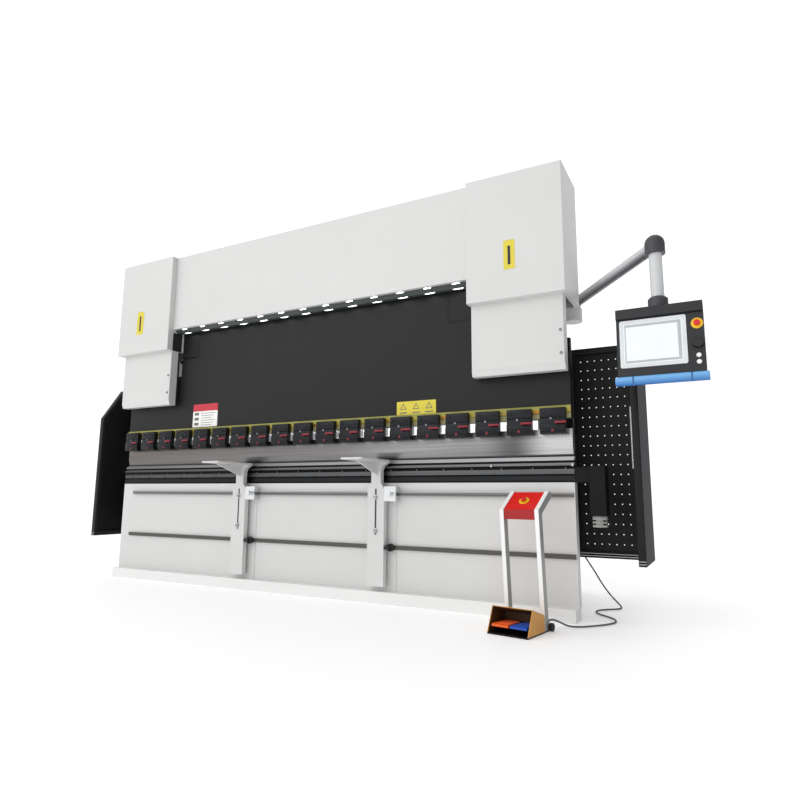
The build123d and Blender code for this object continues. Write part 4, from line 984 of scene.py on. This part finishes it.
class PRESSBRAKE_OT_notices(bpy.types.Operator):
    """Fix the plain coloured notices on the ram"""
    bl_idname = "press_brake.notices"
    bl_label = "Ram notices"

    def execute(self, context):
        y = RAM_LOW.y
        notice("notice_yellow", NOTICE_YELLOW)
        marks = [triangle_mark((x, y - 1.4 * MM, 1.322), 30 * MM, 1.2 * MM) for x in MARK_XS]
        bars = [add_block("bar", (x - 30 * MM, y - 1.8 * MM, 1.280), (x + 30 * MM, y - 1.0 * MM, 1.288))
                for x in MARK_XS]
        fit(join("notice_marks", marks + bars), "notice_grey", "ram")
        notice("notice_white", NOTICE_WHITE)
        notice("notice_red", NOTICE_RED)
        lines = []
        for i, z in enumerate(LINE_ZS):
            lines.append(add_block("line", (-1.105, y - 1.8 * MM, z - 2 * MM),
                                   (-0.945 - 0.02 * (i % 3), y - 1.0 * MM, z + 2 * MM)))
        for z in BLOCK_ZS:
            lines.append(add_block("line", (-1.180, y - 1.8 * MM, z - 12 * MM),
                                   (-1.130, y - 1.0 * MM, z + 12 * MM)))
        lines = [bevel_edges(line, 0.2 * MM, 1) for line in lines]
        fit(join("notice_lines", lines), "notice_grey", "ram")
        return {"FINISHED"}


# Front supports

# How far a support's rail and gap and its leg stand in front of the bed, and the heights on the leg
RAIL_DEPTH, RAIL_GAP, LEG_DEPTH = 0.024, 0.0003, 0.040
SLOT_FOOT, SLOT_TOP, BOLT_ZS = 0.45, 0.76, (0.703, 0.478)


class PRESSBRAKE_OT_supports(bpy.types.Operator):
    """Add the slots and bolts of the front supports"""
    bl_idname = "press_brake.supports"
    bl_label = "Support fittings"

    def execute(self, context):
        for side in ("left", "right"):
            low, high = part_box(side + "_support")
            middle = (low.x + high.x) / 2
            leg_face = BED_LOW.y - RAIL_DEPTH - RAIL_GAP - LEG_DEPTH
            body = side + "_support_slide"
            # The slot is a dark block in the leg: painted shade for the slot's dark inside
            slot = add_block(side + "_support_slot", (middle - 7 * MM, leg_face - 0.6 * MM, SLOT_FOOT),
                             (middle + 7 * MM, leg_face + 2 * MM, SLOT_TOP))
            bevel_edges(slot, 4 * MM, 3)
            fit(slot, "elbow_dark", body)
            bolts = []
            for z in BOLT_ZS:
                washer = add_rod("washer", (middle, leg_face - 2.5 * MM, z), (0, -1, 0), 17 * MM, 4 * MM, 32)
                bolts += [bevel_edges(washer, 0.8 * MM, 2, 50),
                          socket_screw("bolt", (middle, leg_face - 4 * MM, z), (0, -1, 0), 11 * MM, 12 * MM)]
            fit(join(side + "_support_bolts", bolts), "screw_steel", body)
        return {"FINISHED"}


# Crowning table

# The knob's place across, and the screws along the table and the rail
KNOB_X = 1.483
TABLE_SCREWS, SCREW_PITCH, SCREW_SHIFT = 20, 0.2, 0.05


class PRESSBRAKE_OT_table_fittings(bpy.types.Operator):
    """Add the knob, the end stop and the screws along the crowning table"""
    bl_idname = "press_brake.table_fittings"
    bl_label = "Crowning table fittings"

    def execute(self, context):
        low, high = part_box("die_rail")
        table_low, table_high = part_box("crowning_table")
        knob = add_rod("knob", (KNOB_X, low.y - 5 * MM, high.z - 8 * MM), (0, -1, 0), 8 * MM, 10 * MM, 24)
        pick_faces(knob, lambda c, n: n.y < -0.9)
        bpy.ops.mesh.inset(thickness=3 * MM)
        push(-2 * MM)
        bevel_edges(knob, 1.2 * MM, 2, 50)
        stop = add_block("stop", (high.x - 15 * MM, low.y - 4 * MM, low.z + 22 * MM), (high.x, low.y, high.z))
        bevel_edges(stop, 1.5 * MM, 2)
        fit(join("table_knobs", [knob, stop]), "screw_steel", "machine")
        screws = []
        for i in range(TABLE_SCREWS):
            x = table_low.x + SCREW_PITCH / 2 + i * SCREW_PITCH
            for place, radius, depth in (((x, table_low.y, table_high.z - 20 * MM), 6 * MM, 4 * MM),
                                         ((x + SCREW_SHIFT, low.y, low.z + 12 * MM), 5 * MM, 3 * MM)):
                screws.append(socket_screw("screw", place, (0, -1, 0), radius, depth))
        fit(join("table_screws", screws), "table_steps", "machine")
        return {"FINISHED"}


# The connector's nut: its top over the drive box's foot, its middle from the box's right end, its radius
NUT_TOP, NUT_INSET, NUT_RADIUS = 0.069, 0.0475, 46 * MM


class PRESSBRAKE_OT_connector(bpy.types.Operator):
    """Screw the ringed hexagonal nut of the connector under the drive box"""
    bl_idname = "press_brake.connector"
    bl_label = "Drive connector"

    def execute(self, context):
        low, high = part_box("crowning_drive")
        foot, top = low.z + 5 * MM, low.z + NUT_TOP
        nut = add_rod("drive_connector_nut", (high.x - NUT_INSET, 0, (foot + top) / 2), (0, 0, 1), NUT_RADIUS,
                      top - foot, 6)
        a, b, c, d = rings = [foot + height * MM for height in (14, 22, 34, 42)]
        for z in rings:
            cut(nut, (0, 0, z), (0, 0, 1))
        pick_faces(nut, lambda m, n: abs(n.z) < 0.1 and (a < m.z < b or c < m.z < d))
        push(-5 * MM)
        bevel_edges(nut, 2 * MM, 2)
        fit(nut, "plug_grey", "machine")
        return {"FINISHED"}


# Pendant

HOOD, LEAN_RUN = 52 * MM, 18 * MM
FACE_FOOT = CASE_LOW.z + 24 * MM
FACE_TOP = CASE_HIGH.z - HOOD - 6 * MM
FACE_FRONT = CASE_LOW.y + LEAN_RUN + 6 * MM
FACE_LEAN = math.atan2(LEAN_RUN, FACE_TOP - FACE_FOOT)
FACE_TURN = Matrix.Rotation(math.pi / 2 - FACE_LEAN, 4, "X")
CASE_MIDDLE = (CASE_LOW.x + CASE_HIGH.x) / 2
# The display, and the row of controls beside it
DISPLAY_X, DISPLAY_Z = -0.032, CASE_HIGH.z - HOOD - 0.1405
DISPLAY_WIDTH, DISPLAY_HEIGHT = 0.283, 0.219
BUTTON_ROW = 0.178
STOP_Z, DIAL_Z = CASE_HIGH.z - HOOD - 0.065, CASE_HIGH.z - HOOD - 0.167
BUTTON_ZS = (CASE_HIGH.z - HOOD - 0.232, CASE_HIGH.z - HOOD - 0.266)


def face_point(dx, z, lift=0.0):
    """A point on the pendant's leaning face, or a little in front of it."""
    y = FACE_FRONT - LEAN_RUN * (FACE_TOP - z) / (FACE_TOP - FACE_FOOT)
    normal = Vector((0, -math.cos(FACE_LEAN), math.sin(FACE_LEAN)))
    return Vector((CASE_MIDDLE + dx, y, z)) + normal * lift


def on_face(piece, dx, z, lift=0.0):
    """Lays a piece drawn on the XY plane onto the pendant's face."""
    piece.data.transform(Matrix.Translation(face_point(dx, z, lift)) @ FACE_TURN)
    return piece


def flat_ring(name, outer, inner, height, sides=48):
    """A flat ring drawn on the XY plane."""
    deselect()
    bpy.ops.mesh.primitive_circle_add(vertices=sides, radius=outer, fill_type="NGON")
    ring = bpy.context.object
    ring.name = name
    pick_faces(ring, lambda c, n: True)
    bpy.ops.mesh.inset(thickness=outer - inner)
    bpy.ops.mesh.delete(type="FACE")
    bpy.ops.mesh.select_all(action="SELECT")
    bpy.ops.mesh.extrude_region_move(TRANSFORM_OT_translate={"value": (0, 0, height)})
    return bevel_edges(ring, height * 0.3, 2, 50)


def rounded_panel(name, width, height, depth, radius):
    """A rounded panel drawn on the XY plane, its middle at the origin."""
    panel = add_block(name, (-width / 2, -height / 2, 0), (width / 2, height / 2, depth))
    return round_corners(panel, 2, radius, 5)


def hand_dial():
    """The dial: a fluted knob with a raised rim and a finger dimple."""
    dial = add_rod("pendant_dial_knob", (0, 0, 8 * MM), (0, 0, 1), 26 * MM, 16 * MM, 48)
    pick_faces(dial, lambda c, n: abs(n.z) < 0.1 and round(math.degrees(math.atan2(c.y, c.x)) / 7.5) % 2 == 0)
    bpy.ops.mesh.extrude_faces_move(TRANSFORM_OT_shrink_fatten={"value": -1.4 * MM})
    pick_faces(dial, lambda c, n: n.z > 0.9)
    bpy.ops.mesh.inset(thickness=4 * MM)
    push(-2 * MM)
    bpy.ops.object.mode_set(mode="OBJECT")
    return dial


class PRESSBRAKE_OT_pendant(bpy.types.Operator):
    """Model the display, buttons and hand rail of the control pendant"""
    bl_idname = "press_brake.pendant"
    bl_label = "Control pendant"

    def execute(self, context):
        panel = rounded_panel("pendant_display", DISPLAY_WIDTH, DISPLAY_HEIGHT, 1.2 * MM, 3 * MM)
        fit(on_face(panel, DISPLAY_X, DISPLAY_Z, 3.05 * MM), "display", "pendant")
        bars = []
        for dx, dz, w, h in ((0, 0.098, 0.272, 0.014), (0, -0.098, 0.272, 0.012), (-0.132, 0, 0.006, 0.182),
                             (0.128, 0, 0.016, 0.182)):
            bar = rounded_panel("bar", w, h, 0.4 * MM, 1 * MM)
            bars.append(on_face(bar, DISPLAY_X + dx, DISPLAY_Z + dz, 4.1 * MM))
        fit(join("pendant_display_bars", bars), "display_grey", "pendant")
        ring = flat_ring("pendant_stop_ring", 28 * MM, 9 * MM, 2.5 * MM)
        fit(on_face(ring, BUTTON_ROW, STOP_Z, 0.1 * MM), "ring_yellow", "pendant")
        dial = on_face(hand_dial(), BUTTON_ROW, DIAL_Z, 0.3 * MM)
        fit(dial, "dial_black", "pendant_dial_knob")
        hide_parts("pendant_dial")
        rings = [on_face(flat_ring("rim", 13 * MM, 10.2 * MM, 4 * MM, 32), BUTTON_ROW, z) for z in BUTTON_ZS]
        fit(join("pendant_button_rims", rings), "screw_steel", "pendant")
        low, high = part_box("pendant_grip")
        y, z, width = low.y + 25 * MM, low.z + 25 * MM, high.x - low.x
        rail = add_rod("pendant_rail", ((low.x + high.x) / 2, y, z), (1, 0, 0), 24.4 * MM, width, 48)
        bevel_edges(rail, 3 * MM, 3, 50)
        hanger = add_block("hanger", (CASE_LOW.x, y - 4 * MM, high.z - 12 * MM),
                           (CASE_HIGH.x, high.y, high.z))
        bevel_edges(hanger, 2 * MM, 2)
        rail = fit(join("pendant_rail", [rail, hanger]), "grip_blue", "pendant")
        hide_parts("pendant_grip")
        collars = [add_rod("collar", (low.x + share * width, y, z), (1, 0, 0), 25 * MM, 9 * MM, 48)
                   for share in (0.2, 0.82)]
        collars = [bevel_edges(collar, 1 * MM, 2, 50) for collar in collars]
        fit(join("pendant_rail_collars", collars), "grip_dark", "pendant")
        return {"FINISHED"}


# Pedal stand

STAND_X, STAND_Y = 1.786, -0.360
STAND_TURN = (Matrix.Translation((STAND_X, STAND_Y, 0)) @ Matrix.Rotation(math.radians(-9.4), 4, "Z")
              @ Matrix.Translation((-STAND_X, -STAND_Y, 0)))
PEDAL_PIVOT_Y, PEDAL_TOP, PEDAL_SHIFT = -0.422, 0.046, 0.053
# The treads slope by TREAD_RISE over TREAD_RUN
TREAD_RIBS, TREAD_RISE, TREAD_RUN = 8, 0.005, 0.140
# The stop button's place and rake, and the sheet of painted shade inside the guard: half width, front and
# foot, rear and top
STOP_PLACE, STOP_RAKE = (STAND_X, -0.3607, 0.6905), math.radians(90 - 54.61)
GUARD_HALF, GUARD_LOW, GUARD_HIGH = 0.1135, (-0.590, 0.0085), (-0.3985, 0.1312)


def guard_painted_shade():
    """A thin dark sheet inside the pedal guard, open to the front: painted shade on the guard's inside."""
    lining = add_block("guard_painted_shade", (STAND_X - GUARD_HALF, *GUARD_LOW),
                       (STAND_X + GUARD_HALF, *GUARD_HIGH))
    for vert in lining.data.vertices:
        if vert.co.z > 0.1:
            vert.co += Vector((0, 0.059, 0)) if vert.co.y < -0.5 else Vector((0, 0, -0.043))
    pick_faces(lining, lambda c, n: n.y < -0.5 or n.z < -0.9)
    bpy.ops.mesh.delete(type="FACE")
    thicken(lining, 0.4 * MM)
    lining.data.transform(STAND_TURN)
    return lining


class PRESSBRAKE_OT_stand(bpy.types.Operator):
    """Add the stop ring, the painted shade inside the guard and the treads of the pedal stand"""
    bl_idname = "press_brake.stand"
    bl_label = "Pedal stand"

    def execute(self, context):
        seat = Matrix.Translation(STOP_PLACE) @ Matrix.Rotation(STOP_RAKE, 4, "X")
        ring = flat_ring("stand_stop_ring", 30 * MM, 9 * MM, 2.5 * MM)
        ring.data.transform(STAND_TURN @ seat @ Matrix.Translation((0, 0, 0.1 * MM)))
        fit(ring, "ring_yellow", "machine")
        # A thin dark sheet of painted shade inside the guard
        fit(guard_painted_shade(), "inside_dark", "machine")
        for side, x, colour in (("left", STAND_X - PEDAL_SHIFT, "pedal_orange"),
                                ("right", STAND_X + PEDAL_SHIFT, "pedal_blue")):
            ribs = []
            for i in range(TREAD_RIBS):
                y = PEDAL_PIVOT_Y - (22 + 15 * i) * MM
                z = PEDAL_TOP + TREAD_RISE * (PEDAL_PIVOT_Y - y) / TREAD_RUN
                ribs.append(add_block("rib", (x - 42 * MM, y, z - 2 * MM),
                                      (x + 42 * MM, y + 5 * MM, z + 1.8 * MM)))
            ribs = join(side + "_pedal_ribs", [bevel_edges(rib, 0.8 * MM, 2) for rib in ribs])
            ribs.data.transform(STAND_TURN)
            fit(ribs, colour, side + "_foot_pedal")
        return {"FINISHED"}


# Pedal cable

CABLE_ROUTE = [(1.738, 0.640, 0.430), (1.786, 0.640, 0.430), (1.838, 0.642, 0.404), (1.880, 0.645, 0.350),
               (1.922, 0.648, 0.280), (1.966, 0.645, 0.214), (2.006, 0.637, 0.146), (2.058, 0.622, 0.078),
               (2.118, 0.590, 0.026), (2.152, 0.540, 0.006), (2.130, 0.482, 0.006), (2.076, 0.440, 0.006),
               (2.028, 0.384, 0.006), (2.022, 0.312, 0.006), (2.058, 0.246, 0.006), (2.120, 0.190, 0.006),
               (2.176, 0.118, 0.006), (2.188, 0.030, 0.006), (2.150, -0.054, 0.006), (2.092, -0.128, 0.006),
               (2.032, -0.192, 0.006), (1.974, -0.206, 0.006), (1.934, -0.222, 0.026), (1.907, -0.250, 0.042),
               (1.9023, -0.2941, 0.050), (1.8951, -0.3375, 0.050)]


class PRESSBRAKE_OT_cable(bpy.types.Operator):
    """Lay the pedal cable from the frame over the floor to the stand"""
    bl_idname = "press_brake.cable"
    bl_label = "Pedal cable"

    def execute(self, context):
        diameter = context.scene.press_brake_sizes.cable
        curve = bpy.data.curves.new("pedal_cable_line", "CURVE")
        curve.dimensions = "3D"
        curve.bevel_depth = diameter / 2
        curve.bevel_resolution = 4
        curve.resolution_u = 8
        curve.use_fill_caps = True
        spline = curve.splines.new("NURBS")
        spline.points.add(len(CABLE_ROUTE) - 1)
        for point, place in zip(spline.points, CABLE_ROUTE):
            point.co = (*place, 1)
        spline.order_u = 3
        spline.use_endpoint_u = True
        cable = bpy.data.objects.new("pedal_cable_line", curve)
        context.scene.collection.objects.link(cable)
        curve.materials.append(MATERIALS["cable_grey"])
        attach(cable, "machine")
        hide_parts("pedal_cable")
        return {"FINISHED"}


# Stage

CAMERA_PLACE, CAMERA_LENS = (2.801, -3.747, 0.715), 27.31
CAMERA_YAW = math.radians(28.163)
CAMERA_PITCH = math.radians(8.941)
CAMERA_ROLL = math.radians(0.437)


def soft_light(name, place, target, size, power):
    """A large area light that faces a point."""
    light = bpy.data.lights.new(name, "AREA")
    light.shape = "RECTANGLE"
    light.size, light.size_y = size
    light.energy = power
    lamp = bpy.data.objects.new(name, light)
    lamp.location = place
    lamp.rotation_euler = (Vector(target) - Vector(place)).to_track_quat("-Z", "Y").to_euler()
    bpy.context.scene.collection.objects.link(lamp)
    return lamp


class PRESSBRAKE_OT_stage(bpy.types.Operator):
    """Set up the pale floor, the soft lights and the camera"""
    bl_idname = "press_brake.stage"
    bl_label = "Stage"

    def execute(self, context):
        stage = context.scene.press_brake_stage
        deselect()
        bpy.ops.mesh.primitive_plane_add(size=stage.floor, location=(0, 0, -0.001))
        floor = apply_place(bpy.context.object)
        floor.name = "studio_floor"
        material, tree, shader, place = new_material("Seamless white floor", 0.6, emission_strength=0.22)
        tree.links.new(mottle(tree, place, "F7F7F7", 0.5, 0.01), shader.inputs["Base Color"])
        paint(floor, material)
        world = bpy.data.worlds.new("Studio")
        world.use_nodes = True
        tree = world.node_tree
        aim = add_node(tree, "TexCoord")
        axes = add_node(tree, "SeparateXYZ", {"Vector": aim.outputs["Generated"]})
        fade = add_node(tree, "MapRange", {"Value": axes.outputs["X"]},
                        {"From Min": 0.15, "From Max": 0.6, "To Min": stage.sky, "To Max": stage.dusk},
                        interpolation_type="SMOOTHSTEP")
        background = tree.nodes["Background"]
        background.inputs["Color"].default_value = (1, 1, 1, 1)
        tree.links.new(fade.outputs[0], background.inputs["Strength"])
        context.scene.world = world
        soft_light("Key light", (-2.5, -6.5, 4.5), (0, 0, 1.2), (5.0, 3.0), stage.key)
        soft_light("Side light", (7.0, -2.0, 3.5), (1.5, 0, 1.2), (3.0, 3.0), stage.side)
        forward = Vector((-math.sin(CAMERA_YAW) * math.cos(CAMERA_PITCH),
                          math.cos(CAMERA_YAW) * math.cos(CAMERA_PITCH), math.sin(CAMERA_PITCH)))
        level = Vector((math.cos(CAMERA_YAW), math.sin(CAMERA_YAW), 0))
        above = level.cross(forward)
        right = level * math.cos(CAMERA_ROLL) + above * math.sin(CAMERA_ROLL)
        up = -level * math.sin(CAMERA_ROLL) + above * math.cos(CAMERA_ROLL)
        lens = bpy.data.cameras.new("Camera")
        lens.sensor_fit = "HORIZONTAL"
        lens.sensor_width = 36.0
        lens.lens = CAMERA_LENS
        camera = bpy.data.objects.new("Camera", lens)
        camera.matrix_world = (Matrix.Translation(CAMERA_PLACE)
                               @ Matrix((right, up, -forward)).transposed().to_4x4())
        context.scene.collection.objects.link(camera)
        context.scene.camera = camera
        context.scene.view_settings.view_transform = "Standard"
        return {"FINISHED"}


class PRESSBRAKE_PT_panel(bpy.types.Panel):
    """The panel that lists the steps"""
    bl_idname = "PRESSBRAKE_PT_panel"
    bl_label = "Press Brake"
    bl_space_type = "VIEW_3D"
    bl_region_type = "UI"
    bl_category = "Press Brake"

    def draw(self, context):
        column = self.layout.column()
        for group in (context.scene.press_brake_colours, context.scene.press_brake_sizes,
                      context.scene.press_brake_stage):
            for name in group.__annotations__:
                column.prop(group, name)
        for step in STEPS:
            column.operator(step.bl_idname)


STEPS = (PRESSBRAKE_OT_finishes, PRESSBRAKE_OT_clamps, PRESSBRAKE_OT_fences, PRESSBRAKE_OT_lamps,
         PRESSBRAKE_OT_cover_fittings, PRESSBRAKE_OT_notices, PRESSBRAKE_OT_supports,
         PRESSBRAKE_OT_table_fittings, PRESSBRAKE_OT_connector, PRESSBRAKE_OT_pendant, PRESSBRAKE_OT_stand,
         PRESSBRAKE_OT_cable, PRESSBRAKE_OT_stage)
GROUPS = (PressBrakeColours, PressBrakeSizes, PressBrakeStage)


def register():
    for item in GROUPS + STEPS + (PRESSBRAKE_PT_panel,):
        bpy.utils.register_class(item)
    bpy.types.Scene.press_brake_colours = PointerProperty(type=PressBrakeColours)
    bpy.types.Scene.press_brake_sizes = PointerProperty(type=PressBrakeSizes)
    bpy.types.Scene.press_brake_stage = PointerProperty(type=PressBrakeStage)


def unregister():
    del bpy.types.Scene.press_brake_colours
    del bpy.types.Scene.press_brake_sizes
    del bpy.types.Scene.press_brake_stage
    for item in reversed(GROUPS + STEPS + (PRESSBRAKE_PT_panel,)):
        bpy.utils.unregister_class(item)


def main():
    """Registers the add-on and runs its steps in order."""
    register()
    for step in STEPS:
        group, name = step.bl_idname.split(".")
        getattr(getattr(bpy.ops, group), name)()
    deselect()


if __name__ == "__main__":
    main()
